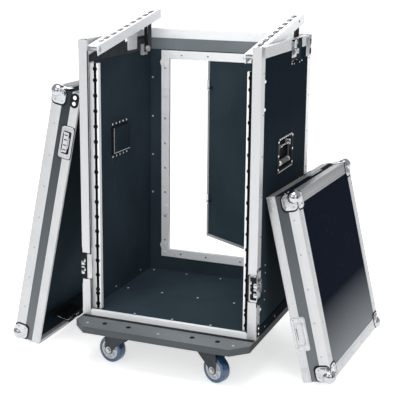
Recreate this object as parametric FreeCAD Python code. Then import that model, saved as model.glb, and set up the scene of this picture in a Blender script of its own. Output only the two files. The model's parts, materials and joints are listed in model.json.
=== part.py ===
import FreeCAD, Part
import math
import os

# 19-inch combination rack case on castors, with its front cover and top cover taken off.
# Millimetres, +X to the right of the case, +Y from its front to its rear, +Z up.
# Case coordinates start at the middle of the case's bottom front edge.  The last step
# moves everything so that the origin is on the floor under the middle of the whole set.

Vec = FreeCAD.Vector

# ---- driving dimensions of the case ----
HALF_W = 269.0          # centre to the outer face of a side panel
CASE_D = 470.0          # front plane to the outer face of the rear panel
CASE_H = 812.0
PLY = 9.0               # laminated plywood
SKIN = 1.5              # wall of the aluminium extrusions
POST_FACE = 25.0        # width of the front profiles
EDGE_FACE = 30.0        # width of the top, rear and bottom profiles
SILL_H = 17.0

# ---- 19-inch rack rails ----
RACK_CENTRES = 465.1    # between the two slots
RACK_UNIT = 44.45
UNIT_HOLE_LOW = 6.35    # lower hole of a rack unit above the unit's lower edge
UNIT_HOLE_HIGH = 38.1
UNITS = 16
RAIL_FOOT = 14.0        # height of the rail's lower end
RAIL_LEN = 731.0
RAIL_Y = 25.0           # rail face behind the front plane
RAIL_IN = 222.5         # centre to the rail's inner edge
RAIL_OUT = 250.0
SLOT_W = 8.0
THREAD_R = 3.0          # M6

# ---- rear opening and door ----
OPEN_HALF_W = 193.0
OPEN_LOW = 82.0
OPEN_HIGH = 716.0
FRAME_FACE = 27.0
DOOR_ANGLE = 31.0       # how far the door stands open at rest
HINGE_X = 203.0
HINGE_Y = 476.5
KNUCKLE_R = 3.2
LEAF_GAP = 0.3          # from the hinge's middle plane to the edge of a leaf
DOOR_LATCH_Z = (207.0, 601.0)
DOOR_LATCH_X = -175.0

# ---- wheel board and castors ----
BOARD_T = 20.0
BOARD_FRONT = -90.0
BOARD_CHAMFER = 45.0
CASTOR_X = 137.0
CASTOR_Y = (-17.0, 400.0)
CASTOR_H = 108.0
WHEEL_R = 40.0
WHEEL_W = 30.0
TRAIL = 32.0
AXLE_R = 5.0
FIT = 0.05              # radial running clearance
FLOOR = -BOARD_T - CASTOR_H
PEDAL_PIN = (30.2, -35.0)   # brake pedal's pin: along the trail, height
BOLT_HOLE_R = 4.2
# name, side, row, heading of the trail in degrees from +X
CASTORS = (("front_left", -1, 0, 168.0), ("front_right", 1, 0, -22.0),
           ("rear_left", -1, 1, 120.0), ("rear_right", 1, 1, 75.0))

# ---- tilting mixer rails ----
MIXER_Y = 21.0
MIXER_Z = 785.0
MIXER_TILT = 10.4
MIXER_LEN = 436.0
MIXER_IN = 218.0
MIXER_OUT = 252.0
STRUT_PIVOT = 385.0     # along the rail from its own pivot
STRUT_BOLT = (403.0, 752.0)
STRUT_LEN = 112.0

# ---- handles and latches ----
HANDLE_Y = 235.0
HANDLE_Z = 492.0
HANDLE_PIVOT = (264.0, 514.0)
LATCH_LEN = 110.0
LATCH_DEEP = 75.0
LOW_LATCH_Z = 151.0
TOP_LATCH_Y = 322.0

# ---- covers ----
COVER_PLY = 7.0
COVER_FACE = 33.0       # edge profile on the outer face
BALL_R = 20.0
BALL_IN = 11.0
# lift is what the latch or catch plate on the standing side raises the rim by
FRONT_COVER = dict(wide=538.0, tall=800.0, thick=89.0, rim=31.5, edge=34.5, lean=11.6, lift=1.2)
TOP_COVER = dict(wide=492.0, tall=538.0, thick=88.0, rim=26.0, edge=30.0, lean=13.4, lift=2.8)
FRONT_COVER_Y = 278.0   # middle of the leaning front cover
TOP_COVER_Y = 51.0      # front lower corner of the leaning top cover
TOP_COVER_X = 396.5
TOP_COVER_TURN = 2.9    # its rear end stands off the case by this angle
END_LATCH_DEEP = 62.0
PLATE_LEN = 95.0        # catch plates on the covers
PLATE_DEEP = 40.0


# ---------------------------------------------------------------- helpers
def block(x0, x1, y0, y1, z0, z1):
    return Part.makeBox(x1 - x0, y1 - y0, z1 - z0, Vec(x0, y0, z0))


def rod(radius, start, end):
    run = Vec(*end) - Vec(*start)
    return Part.makeCylinder(radius, run.Length, Vec(*start), run)


def tube(outer, inner, start, end):
    return rod(outer, start, end).cut(rod(inner, start, end))


def prism(points, run):
    """Straight extrusion of a flat outline given by its corner points."""
    wire = Part.makePolygon([Vec(*p) for p in points] + [Vec(*points[0])])
    return Part.Face(wire).extrude(Vec(*run))


def mirrored(shape):
    return shape.mirror(Vec(0, 0, 0), Vec(1, 0, 0))


def group(shapes):
    solids = [s for shape in shapes for s in shape.Solids]
    return Part.makeCompound(solids)


def fused(shapes):
    return shapes[0].multiFuse(shapes[1:]).removeSplitter()


def centred_box(size, z0, z1):
    """Plate about the local z axis; size is (width, height)."""
    return block(-size[0] / 2, size[0] / 2, -size[1] / 2, size[1] / 2, z0, z1)


def ring_box(outer, inner, z0, z1):
    """Rectangular ring about the local z axis; sizes are (width, height)."""
    return centred_box(outer, z0, z1).cut(centred_box(inner, z0 - 1, z1 + 1))


def rounded_plate(width, height, radius, z0, z1):
    """Plate about the local z axis with its four upright edges rounded."""
    plate = block(-width / 2, width / 2, -height / 2, height / 2, z0, z1)
    upright = [e for e in plate.Edges if abs(e.tangentAt(0).z) > 0.9]
    return plate.makeFillet(radius, upright)


def framed(shape, origin, x_axis, y_axis):
    """Move a shape from a local frame to a place given by its x and y directions."""
    x_dir = Vec(*x_axis)
    y_dir = Vec(*y_axis)
    z_dir = x_dir.cross(y_dir)
    place = FreeCAD.Matrix(x_dir.x, y_dir.x, z_dir.x, origin[0],
                           x_dir.y, y_dir.y, z_dir.y, origin[1],
                           x_dir.z, y_dir.z, z_dir.z, origin[2],
                           0, 0, 0, 1)
    moved = shape.copy()
    moved.Placement = FreeCAD.Placement(place).multiply(moved.Placement)
    return moved


# ---------------------------------------------------------------- latches
def latch_dish(deep):
    """Recessed dish seen from outside; local y runs away from the case's edge, z outward.

    The flange lies on z = 0 and the tub is as deep as the plywood."""
    flange = block(-LATCH_LEN / 2, LATCH_LEN / 2, 0, deep, 0, 2.5)
    tub = block(-44, 44, 8, deep - 8, -8.9, 2.5)
    hollow = block(-42.8, 42.8, 9.2, deep - 9.2, -7.9, 3)
    mouth = block(-16, 16, -1, 12, -6, 3)
    shape = flange.fuse(tub).cut(hollow)
    spindle = rod(4, (0, deep / 2, -7.9), (0, deep / 2, -3))
    hook = block(-14, 14, 1, deep / 2 + 12, -6, -3.5).fuse(block(-14, 14, 1, 4, -6, 1.5))
    return shape.cut(mouth), fused([spindle, hook])


def latch_wing(deep):
    """Butterfly wing that turns about the dish's own z axis."""
    centre = deep / 2
    hub = rod(9, (0, centre, -2.9), (0, centre, 0.5))
    lobes = [rod(8, (s * 13, centre, -1.5), (s * 13, centre, 1.5)) for s in (-1, 1)]
    bar = block(-13, 13, centre - 7, centre + 7, -1.5, 1.5)
    return fused([hub, bar] + lobes)


def latch_room(deep):
    """Space that a latch needs in the panel behind it."""
    return block(-44, 44, 8, deep - 8, -9.6, 0)


# the four latches on the case: name, frame origin, local x axis, local y axis
CASE_LATCHES = []
for latch_side, latch_name in ((-1, "left"), (1, "right")):
    CASE_LATCHES.append(("low_" + latch_name, (latch_side * HALF_W, 0, LOW_LATCH_Z),
                         (0, 0, -latch_side), (0, 1, 0)))
    CASE_LATCHES.append(("top_" + latch_name, (latch_side * HALF_W, TOP_LATCH_Y, CASE_H),
                         (0, -latch_side, 0), (0, 0, -1)))


def latch_frames():
    """Frames with their z axis out of the case's side, whichever side it is."""
    frames = []
    for name, origin, x_axis, y_axis in CASE_LATCHES:
        outward = Vec(*x_axis).cross(Vec(*y_axis)).x * (1 if origin[0] > 0 else -1)
        if outward < 0:
            x_axis = tuple(-c for c in x_axis)
        frames.append((name, origin, x_axis, y_axis))
    return frames


def latch_notches():
    """Everything that the four latches take out of panels and profiles."""
    notches = []
    for _, origin, x_axis, y_axis in latch_frames():
        flange = block(-LATCH_LEN / 2, LATCH_LEN / 2, -1, LATCH_DEEP, 0, 4)
        mouth = block(-16, 16, -4, 12, -9.6, 4)
        notch = fused([latch_room(LATCH_DEEP), flange, mouth])
        notches.append(framed(notch, origin, x_axis, y_axis))
    return notches


# ---------------------------------------------------------------- case shell
def side_panel(notches):
    panel = block(HALF_W - PLY, HALF_W, SKIN, CASE_D, 0, CASE_H - SKIN)
    panel = panel.cut(block(HALF_W - 20, HALF_W + 1, HANDLE_Y - 58, HANDLE_Y + 58,
                            HANDLE_Z - 43, HANDLE_Z + 43))
    return panel.cut(notches)


def rear_panel():
    edge = HALF_W - PLY
    panel = block(-edge, edge, CASE_D - PLY, CASE_D, PLY, CASE_H - SKIN)
    half = OPEN_HALF_W + SKIN
    return panel.cut(block(-half, half, CASE_D - 20, CASE_D + 5, OPEN_LOW - SKIN, OPEN_HIGH + SKIN))


def base_panel():
    """Floor of the case, notched at the front around the two posts."""
    edge = HALF_W - PLY
    notch = block(edge - 17, edge + 1, 0, 16, -1, PLY + 1)
    return block(-edge, edge, SKIN, CASE_D, 0, PLY).cut([notch, mirrored(notch)])


def front_post(notches):
    """L extrusion that wraps the front edge of a side panel, with two inner lips."""
    outer = HALF_W + SKIN
    inner = outer - POST_FACE - SKIN
    wall = HALF_W - PLY
    outline = [(inner, 0), (outer, 0), (outer, EDGE_FACE), (HALF_W, EDGE_FACE), (HALF_W, SKIN),
               (wall, SKIN), (wall, 16), (wall - SKIN, 16), (wall - SKIN, SKIN),
               (inner + SKIN, SKIN), (inner + SKIN, 10), (inner, 10)]
    post = prism([(x, y, 0) for x, y in outline], (0, 0, CASE_H))
    return post.cut(notches)


def front_sill():
    """Hollow lip along the front of the base."""
    half = HALF_W - POST_FACE
    deep = 12
    outline = [(0, 0), (0, SILL_H), (deep, SILL_H), (deep, PLY), (deep - SKIN, PLY),
               (deep - SKIN, SILL_H - SKIN), (SKIN, SILL_H - SKIN), (SKIN, 0)]
    return prism([(-half, y, z) for y, z in outline], (2 * half, 0, 0))


def top_profile(notches):
    """U cap on the top edge of a side panel, ribbed on its outer face."""
    outer = HALF_W + SKIN
    wall = HALF_W - PLY
    low = CASE_H - EDGE_FACE
    rib = EDGE_FACE / 6
    outline = [(wall - SKIN, CASE_H), (wall - SKIN, CASE_H - 20), (wall, CASE_H - 20),
               (wall, CASE_H - SKIN), (HALF_W, CASE_H - SKIN), (HALF_W, low), (outer, low)]
    for k in range(5):
        base = low + rib * (k + 0.5)
        outline += [(outer, base), (outer + 0.7, base + 0.6), (outer + 0.7, base + 1.8), (outer, base + 2.4)]
    outline.append((outer, CASE_H))
    run = CASE_D + SKIN - 2 * EDGE_FACE
    cap = prism([(x, EDGE_FACE, z) for x, z in outline], (0, run, 0))
    return cap.cut(notches)


def rear_profiles():
    """Two upright corner profiles and the wide cross profile at the rear."""
    outer = HALF_W + SKIN
    back = CASE_D + SKIN
    outline = [(outer - EDGE_FACE, CASE_D), (HALF_W, CASE_D), (HALF_W, CASE_D - EDGE_FACE + SKIN),
               (outer, CASE_D - EDGE_FACE + SKIN), (outer, back), (outer - EDGE_FACE, back)]
    post = prism([(x, y, 0) for x, y in outline], (0, 0, CASE_H))
    front = CASE_D - PLY - SKIN
    low = CASE_H - EDGE_FACE
    cap = [(front, low), (front + SKIN, low), (front + SKIN, CASE_H - SKIN), (CASE_D, CASE_H - SKIN),
           (CASE_D, low), (back, low), (back, CASE_H), (front, CASE_H)]
    half = outer - EDGE_FACE
    cross = prism([(-half, y, z) for y, z in cap], (2 * half, 0, 0))
    wall = HALF_W - PLY
    inner_leg = block(-wall, wall, front, front + SKIN, low, CASE_H)
    return group([post, mirrored(post), cross.fuse(inner_leg)])


def bottom_profiles():
    """Flat edge profiles along the bottom of both sides and the rear."""
    outer = HALF_W + SKIN
    side = block(HALF_W, outer, EDGE_FACE, CASE_D + SKIN - EDGE_FACE, 0, EDGE_FACE)
    half = outer - EDGE_FACE
    rear = block(-half, half, CASE_D, CASE_D + SKIN, 0, EDGE_FACE)
    return group([side, mirrored(side), rear])


def door_frame():
    """Aluminium C profile around the rear opening."""
    tall = OPEN_HIGH - OPEN_LOW
    middle = (OPEN_HIGH + OPEN_LOW) / 2
    hole = (2 * OPEN_HALF_W, tall)
    face = (hole[0] + 2 * FRAME_FACE, hole[1] + 2 * FRAME_FACE)
    liner = (hole[0] + 2 * SKIN, hole[1] + 2 * SKIN)
    shape = fused([ring_box(face, hole, 0, SKIN), ring_box(liner, hole, 0, PLY + 2 * SKIN),
                   ring_box(face, hole, PLY + SKIN, PLY + 2 * SKIN)])
    return framed(shape, (0, CASE_D - PLY - SKIN, middle), (-1, 0, 0), (0, 0, 1))


def corner_brackets():
    """Three-sided pressed corner pieces on the case's eight outer corners."""
    outer = HALF_W + SKIN
    back = CASE_D + SKIN
    size = 28.0
    plate = 1.2
    shapes = []
    for z_in, z_out in ((0.0, 1.0), (CASE_H, -1.0)):
        z_far = z_in + z_out * size
        low, high = min(z_in, z_far), max(z_in, z_far)
        side_front = rounded_plate(22, size, 5, 0, plate)
        side_front = framed(side_front, (outer, 12, (low + high) / 2), (0, 1, 0), (0, 0, 1))
        side_rear = rounded_plate(26, size, 5, 0, plate)
        side_rear = framed(side_rear, (outer, back - 13, (low + high) / 2), (0, 1, 0), (0, 0, 1))
        rear = rounded_plate(26, size, 5, 0, plate)
        rear = framed(rear, (outer - 13, back, (low + high) / 2), (-1, 0, 0), (0, 0, 1))
        shapes += [side_front, side_rear, rear]
    return group(shapes + [mirrored(s) for s in shapes])


def rivet(place, out):
    """Domed rivet head standing on a surface; out is the outward direction."""
    head = Part.makeSphere(4.2, Vec(0, 0, -2.6), Vec(0, 0, 1), 0, 90, 360)
    head = head.common(block(-5, 5, -5, 5, 0, 3))
    turn = FreeCAD.Rotation(Vec(0, 0, 1), Vec(*out))
    head.Placement = FreeCAD.Placement(Vec(*place), turn)
    return head


def case_rivets():
    """Rivets of the profiles on both sides, and of the frame around the rear opening."""
    outer = HALF_W + SKIN
    heads = []
    pitch = (CASE_H - 140) / 6
    for k in range(7):
        z = 70 + pitch * k
        if abs(z - LOW_LATCH_Z) > LATCH_LEN / 2 + 6:
            heads.append(rivet((outer, 22, z), (1, 0, 0)))
        heads.append(rivet((outer, CASE_D - 14, z), (1, 0, 0)))
    for y in (80, 170, 410):
        heads.append(rivet((outer, y, 15), (1, 0, 0)))
    inside = CASE_D - PLY - SKIN
    for k in range(8):
        z = OPEN_LOW + 30 + (OPEN_HIGH - OPEN_LOW - 60) / 7 * k
        heads.append(rivet((OPEN_HALF_W + FRAME_FACE / 2, inside, z), (0, -1, 0)))
    for x in (60, 150):
        for z in (OPEN_LOW - FRAME_FACE / 2, OPEN_HIGH + FRAME_FACE / 2):
            heads.append(rivet((x, inside, z), (0, -1, 0)))
    return group(heads + [mirrored(h) for h in heads])


# ---------------------------------------------------------------- rack rails
def rack_rail():
    """Extrusion with a T slot for sliding nuts and a flange screwed to the side panel."""
    slot = RACK_CENTRES / 2
    lip0, lip1 = slot - SLOT_W / 2, slot + SLOT_W / 2
    deep0, deep1 = slot - 7.3, slot + 7.3
    wall = HALF_W - PLY
    face, back = RAIL_Y, RAIL_Y + 14
    outline = [(RAIL_IN, face), (lip0, face), (lip0, face + 2.5), (deep0, face + 2.5),
               (deep0, back - 3), (deep1, back - 3), (deep1, face + 2.5), (lip1, face + 2.5),
               (lip1, face), (RAIL_OUT, face), (RAIL_OUT, back - 3), (wall, back - 3), (wall, back + 26),
               (wall - 2.5, back + 26), (wall - 2.5, back), (RAIL_IN, back)]
    return prism([(x, y, RAIL_FOOT) for x, y in outline], (0, 0, RAIL_LEN))


def rack_floor():
    """Height of the lower edge of the first rack unit."""
    return RAIL_FOOT + (RAIL_LEN - UNITS * RACK_UNIT) / 2


def nut_heights():
    heights = [rack_floor() + UNIT_HOLE_LOW + RACK_UNIT * k for k in range(UNITS)]
    heights.append(rack_floor() + UNIT_HOLE_HIGH)
    heights.append(rack_floor() + RACK_UNIT * (UNITS - 1) + UNIT_HOLE_HIGH)
    return heights


def rack_nuts():
    slot = RACK_CENTRES / 2
    nuts = []
    for z in nut_heights():
        body = block(slot - 7, slot + 7, RAIL_Y + 2.8, RAIL_Y + 10.5, z - 6.5, z + 6.5)
        collar = rod(3.8, (slot, RAIL_Y - 0.5, z), (slot, RAIL_Y + 3, z))
        bore = rod(THREAD_R, (slot, RAIL_Y - 1, z), (slot, RAIL_Y + 11, z))
        nuts.append(body.fuse(collar).cut(bore))
    return group(nuts + [mirrored(n) for n in nuts])


# ---------------------------------------------------------------- handles
def handle_dish():
    """Recessed dish: flange outside the panel and a tub that shows inside the case."""
    flange = rounded_plate(152, 100, 10, 0, SKIN)
    tub = block(-57, 57, -42, 42, -17, SKIN)
    hollow = block(-55.5, 55.5, -40.5, 40.5, -15.5, SKIN + 1)
    dish = flange.fuse(tub).cut(hollow)
    return framed(dish, (HALF_W, HANDLE_Y, HANDLE_Z), (0, 1, 0), (0, 0, 1))


def handle_pin_and_springs():
    x, z = HANDLE_PIVOT
    pin = rod(2.5, (x, HANDLE_Y - 55.5, z), (x, HANDLE_Y + 55.5, z))
    springs = [tube(4.8, 3.2, (x, HANDLE_Y + s * 20, z), (x, HANDLE_Y + s * 42, z)) for s in (-1, 1)]
    return [pin] + springs


def handle_grip():
    """Steel ring with two eyes on the pin, and a rubber sleeve around its grip."""
    x, z = HANDLE_PIVOT
    low = z - 48
    ring = [rod(3, (x, HANDLE_Y - 46, low), (x, HANDLE_Y + 46, low))]
    for s in (-1, 1):
        y = HANDLE_Y + s * 46
        ring += [rod(5.2, (x, y - 2.5, z), (x, y + 2.5, z)), rod(3, (x, y, low), (x, y, z)),
                 Part.makeSphere(3, Vec(x, y, low))]
    bore = rod(2.5 + FIT, (x, HANDLE_Y - 60, z), (x, HANDLE_Y + 60, z))
    sleeve = tube(8, 3, (x, HANDLE_Y - 41, low), (x, HANDLE_Y + 41, low))
    return group([fused(ring).cut(bore), sleeve])


# ---------------------------------------------------------------- rear door
def door_shapes():
    """Door, edge profile, leaf and the two latches, in the closed position."""
    face = HINGE_Y - 3.3
    back = face + PLY
    x0, x1 = -OPEN_HALF_W - 7, HINGE_X - 6
    z0, z1 = OPEN_LOW - 7, OPEN_HIGH + 7
    panel = block(x0 + SKIN, x1 - SKIN, face, back, z0 + SKIN, z1 - SKIN)
    middle = ((x0 + x1) / 2, face, (z0 + z1) / 2)
    size = (x1 - x0, z1 - z0)
    core = (size[0] - 2 * SKIN, size[1] - 2 * SKIN)
    lip = (size[0] - 20, size[1] - 20)
    edge = fused([ring_box(size, core, -PLY, 0), ring_box(size, lip, -PLY - SKIN, -PLY),
                  ring_box(size, lip, 0, SKIN)])
    edge = framed(edge, middle, (1, 0, 0), (0, 0, 1))
    edge = edge.cut(block(HINGE_X - 26.5, HINGE_X, face - 5, face, z0 - 1, z1 + 1))
    plate = block(HINGE_X - 26, HINGE_X - LEAF_GAP, face - SKIN - 0.1, face, z0, z1)
    leaf = fused([plate] + hinge_knuckles(1, -1, z0, z1))
    leaf = leaf.cut(rod(1.5 + FIT, (HINGE_X, HINGE_Y, z0), (HINGE_X, HINGE_Y, z1)))
    leaf = leaf.cut([hinge_gap(0, z0, z1)])
    latches = {}
    for name, z in zip(("lower", "upper"), DOOR_LATCH_Z):
        spindle = rod(4, (DOOR_LATCH_X, 452, z), (DOOR_LATCH_X, back + 3, z))
        tongue = block(DOOR_LATCH_X - 6, DOOR_LATCH_X + 6, 454, 457.5, z - 8, z + 27)
        knob = rod(13, (DOOR_LATCH_X, back + SKIN + 0.3, z), (DOOR_LATCH_X, back + 8, z))
        wing = block(DOOR_LATCH_X - 3, DOOR_LATCH_X + 3, back + 8, back + 18, z - 13, z + 13)
        latches[name] = fused([spindle, tongue, knob, wing])
        panel = panel.cut(rod(4 + FIT, (DOOR_LATCH_X, face - 1, z), (DOOR_LATCH_X, back + 1, z)))
    return panel, edge, leaf, latches


def hinge_segments(z0, z1):
    count = 9
    step = (z1 - z0) / count
    return [(z0 + step * k, z0 + step * (k + 1)) for k in range(count)]


def hinge_knuckles(parity, side, z0, z1):
    """Every second knuckle, from the first for parity 0, each with a neck down to its leaf."""
    shapes = []
    near, far = sorted((HINGE_X, HINGE_X + side * KNUCKLE_R))
    for k, (a, b) in enumerate(hinge_segments(z0, z1)):
        if k % 2 == parity:
            low, high = a + 0.2, b - 0.2
            shapes.append(rod(KNUCKLE_R, (HINGE_X, HINGE_Y, low), (HINGE_X, HINGE_Y, high)))
            shapes.append(block(near, far, HINGE_Y - KNUCKLE_R - 0.7, HINGE_Y, low, high))
    return shapes


def hinge_gap(parity, z0, z1):
    """Room around the knuckles of the other leaf."""
    rods = [rod(KNUCKLE_R + 0.5, (HINGE_X, HINGE_Y, a - 0.2), (HINGE_X, HINGE_Y, b + 0.2))
            for k, (a, b) in enumerate(hinge_segments(z0, z1)) if k % 2 == parity]
    return Part.makeCompound(rods)


def fixed_leaf():
    z0, z1 = OPEN_LOW - 7, OPEN_HIGH + 7
    top = HINGE_Y - 3.3
    plate = block(HINGE_X + LEAF_GAP, HINGE_X + 16, CASE_D + SKIN, top, z0, z1)
    leaf = fused([plate] + hinge_knuckles(0, 1, z0, z1))
    leaf = leaf.cut(hinge_gap(1, z0, z1))
    leaf = leaf.cut(rod(1.5, (HINGE_X, HINGE_Y, z0), (HINGE_X, HINGE_Y, z1)))
    pin = rod(1.5, (HINGE_X, HINGE_Y, z0), (HINGE_X, HINGE_Y, z1))
    return group([leaf, pin])


def door_nodes():
    panel, edge, leaf, latches = door_shapes()
    nodes = {"rear_door_panel": panel, "rear_door_edge": edge, "rear_hinge_leaf_door": leaf}
    for name, shape in latches.items():
        nodes["rear_door_latch_" + name] = shape
    for shape in nodes.values():
        shape.rotate(Vec(HINGE_X, HINGE_Y, 0), Vec(0, 0, 1), -DOOR_ANGLE)
    nodes["rear_hinge_leaf_fixed"] = fixed_leaf()
    return nodes


# ---------------------------------------------------------------- mixer rails
def mixer_place(shape):
    shape.rotate(Vec(0, MIXER_Y, MIXER_Z), Vec(1, 0, 0), MIXER_TILT)
    return shape


def strut_top():
    """Pivot of the strut on the tilted rail, as (y, z)."""
    turn = math.radians(MIXER_TILT)
    return (MIXER_Y + STRUT_PIVOT * math.cos(turn), MIXER_Z + STRUT_PIVOT * math.sin(turn))


def mixer_rail():
    """U channel whose top plate carries square rack holes at the rack width."""
    front, back = MIXER_Y - 7, MIXER_Y + MIXER_LEN
    top, low = MIXER_Z + 10.5, MIXER_Z - 17
    channel = block(MIXER_IN, MIXER_OUT, front, back, low, top)
    channel = channel.cut(block(MIXER_IN + SKIN, MIXER_OUT - SKIN, front - 1, back + 1, low - 1, top - SKIN))
    holes = []
    start = MIXER_Y + 40
    for k in range(9):
        for step in (UNIT_HOLE_LOW, UNIT_HOLE_HIGH):
            y = start + RACK_UNIT * k + step
            if y < back - 12:
                slot = RACK_CENTRES / 2
                holes.append(block(slot - 4.5, slot + 4.5, y - 4.5, y + 4.5, top - 3, top + 1))
    holes.append(rod(4 + FIT, (200, MIXER_Y, MIXER_Z), (270, MIXER_Y, MIXER_Z)))
    holes.append(rod(3 + FIT, (245, MIXER_Y + STRUT_PIVOT, MIXER_Z), (270, MIXER_Y + STRUT_PIVOT, MIXER_Z)))
    return mixer_place(channel.cut(holes))


def mixer_strut():
    """Flat bar that hangs from the rail, with a slot that runs over a clamping bolt."""
    y, z = strut_top()
    lean = math.degrees(math.atan2(STRUT_BOLT[0] - y, z - STRUT_BOLT[1]))
    x0, x1 = 245.8, 249.8
    bar = block(x0, x1, y - 8.4, y + 8.4, z - STRUT_LEN, z)
    head = rod(8.4, (x0, y, z), (x1, y, z))
    slot = block(x0 - 1, x1 + 1, y - 3.9, y + 3.9, z - STRUT_LEN + 5, z - 25)
    pin = rod(3, (x0, y, z), (MIXER_OUT + 1.5, y, z))
    strut = fused([bar, head]).cut(slot).fuse(pin)
    strut.rotate(Vec(0, y, z), Vec(1, 0, 0), lean)
    return strut


def mixer_brackets():
    """Pivot bolts of both rails and clamping bolts of both struts, on the side panels."""
    wall = HALF_W - PLY
    bolt_y, bolt_z = STRUT_BOLT
    pivot = fused([rod(4, (MIXER_IN - 3, MIXER_Y, MIXER_Z), (wall, MIXER_Y, MIXER_Z)),
                   rod(7, (MIXER_IN - 5, MIXER_Y, MIXER_Z), (MIXER_IN - 0.4, MIXER_Y, MIXER_Z)),
                   block(MIXER_OUT + 0.5, wall, MIXER_Y - 1.5, MIXER_Y + 14, MIXER_Z - 14, MIXER_Z + 6)])
    clamp = fused([rod(3, (240, bolt_y, bolt_z), (wall, bolt_y, bolt_z)),
                   rod(9, (237, bolt_y, bolt_z), (245.3, bolt_y, bolt_z)),
                   block(250.3, wall, bolt_y - 16, bolt_y + 16, bolt_z - 20, bolt_z + 14)])
    return group([pivot, clamp, mirrored(pivot), mirrored(clamp)])


# ---------------------------------------------------------------- board and castors
def wheel_board():
    """Board under the case, longer than the case by the front cover, corners cut off."""
    half = HALF_W
    back = CASE_D + SKIN
    c = BOARD_CHAMFER
    outline = [(-half + c, BOARD_FRONT), (half - c, BOARD_FRONT), (half, BOARD_FRONT + c), (half, back - c),
               (half - c, back), (-half + c, back), (-half, back - c), (-half, BOARD_FRONT + c)]
    return prism([(x, y, -BOARD_T) for x, y in outline], (0, 0, BOARD_T))


def castor_bolt_spots():
    spots = []
    for side in (-1, 1):
        for y in CASTOR_Y:
            spots += [(side * CASTOR_X + dx, y + dy) for dx in (-38, 38) for dy in (-30, 30)]
    return spots


def castor_bolts():
    """Bolt shanks through the board with nuts under the castor plates."""
    bolts = []
    for x, y in castor_bolt_spots():
        bolts.append(fused([rod(4, (x, y, -28), (x, y, 0)), rod(6.5, (x, y, -28), (x, y, -23))]))
    return group(bolts)


def castor_plates():
    """Top plate, bearing race and kingpin of each castor."""
    plates = []
    for side in (-1, 1):
        for y in CASTOR_Y:
            x = side * CASTOR_X
            plate = block(x - 48, x + 48, y - 40, y + 40, -BOARD_T - 3, -BOARD_T)
            race = rod(22, (x, y, -31), (x, y, -BOARD_T - 3))
            pin = rod(AXLE_R, (x, y, -40), (x, y, -30))
            head = rod(8, (x, y, -43), (x, y, -37))
            holes = [rod(BOLT_HOLE_R, (x + dx, y + dy, -30), (x + dx, y + dy, -10))
                     for dx in (-38, 38) for dy in (-30, 30)]
            plates.append(fused([plate, race, pin, head]).cut(holes))
    return group(plates)


def castor_centre(side, row):
    return Vec(side * CASTOR_X, CASTOR_Y[row], 0)


def castor_fork():
    """Pressed fork: local x is the trail direction, z = 0 is the underside of the case."""
    axle = -BOARD_T - CASTOR_H + WHEEL_R
    crown = rod(25, (0, 0, -36.6), (0, 0, -31.4)).fuse(block(-20, 27, -20, 20, -36.6, -31.4))
    crown = crown.cut(rod(AXLE_R + FIT, (0, 0, -50), (0, 0, -20)))
    leg_line = [(-20, -31.4), (27, -31.4), (45, axle + 2), (45, axle - 6), (40, axle - 11),
                (24, axle - 11), (-20, -50)]
    legs = []
    for y in (-20, 17):
        leg = prism([(x, y, z) for x, z in leg_line], (0, 3, 0))
        legs.append(leg.cut(rod(AXLE_R, (TRAIL, -25, axle), (TRAIL, 25, axle))))
    bolt = fused([rod(AXLE_R, (TRAIL, -21, axle), (TRAIL, 21, axle)),
                  rod(8.5, (TRAIL, -24.5, axle), (TRAIL, -20, axle)),
                  rod(8.5, (TRAIL, 20, axle), (TRAIL, 24.5, axle))])
    x, z = PEDAL_PIN
    lugs = [block(26, x + 1.8, *sorted((s * 11.5, s * 14)), z - 2, z + 2.5) for s in (-1, 1)]
    pin = rod(1.5, (x, -14, z), (x, 14, z))
    return group([fused([crown, pin] + legs + lugs), bolt])


def castor_wheel():
    """Blue elastic tyre on a two-flange hub."""
    axle = -BOARD_T - CASTOR_H + WHEEL_R
    half = WHEEL_W / 2
    tyre = tube(WHEEL_R, 28, (TRAIL, -half, axle), (TRAIL, half, axle))
    rim_edges = [e for e in tyre.Edges if abs(e.Length - 2 * math.pi * WHEEL_R) < 1]
    tyre = tyre.makeFillet(6, rim_edges)
    hub = rod(28, (TRAIL, -half + 2, axle), (TRAIL, half - 2, axle))
    for side in (-1, 1):
        groove = tube(24, 12, (TRAIL, side * 7, axle), (TRAIL, side * 14, axle))
        hub = hub.cut(groove)
    boss = rod(10, (TRAIL, -half - 1, axle), (TRAIL, half + 1, axle))
    hub = hub.fuse(boss).cut(rod(AXLE_R + FIT, (TRAIL, -30, axle), (TRAIL, 30, axle)))
    return group([tyre, hub])


def castor_brake():
    """Foot pedal over the wheel, hinged at the end of the crown."""
    x, z = PEDAL_PIN
    pedal_line = [(x + 1.3, -37), (x + 1.3, -33), (52, -33), (64, -30), (65.5, -32), (53, -36.2)]
    plate = prism([(px, -11, pz) for px, pz in pedal_line], (0, 22, 0))
    eye = rod(2.8, (x, -11, z), (x, 11, z))
    return plate.fuse(eye).cut(rod(1.5 + FIT, (x, -12, z), (x, 12, z)))


def castor_nodes():
    nodes = {}
    for name, side, row, heading in CASTORS:
        pieces = {"castor_fork_": castor_fork(), "castor_wheel_": castor_wheel()}
        if row == 0:
            pieces["castor_brake_"] = castor_brake()
        for kind, shape in pieces.items():
            shape.rotate(Vec(0, 0, 0), Vec(0, 0, 1), heading)
            shape.translate(castor_centre(side, row))
            nodes[kind + name] = shape
    return nodes


# ---------------------------------------------------------------- covers
def mitred(ring, size):
    """The four bars of a rectangular ring, joined at 45 degrees."""
    bars = []
    deep = 60
    for x_side, y_side in ((1, 0), (-1, 0), (0, 1), (0, -1)):
        if x_side:
            x, y = x_side * size[0] / 2, size[1] / 2
            corner_line = [(x, -y), (x, y), (x - x_side * deep, y - deep), (x - x_side * deep, deep - y)]
        else:
            x, y = size[0] / 2, y_side * size[1] / 2
            corner_line = [(-x, y), (x, y), (x - deep, y - y_side * deep), (deep - x, y - y_side * deep)]
        bars.append(ring.common(prism([(px, py, -5) for px, py in corner_line], (0, 0, 200))))
    return bars


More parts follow.
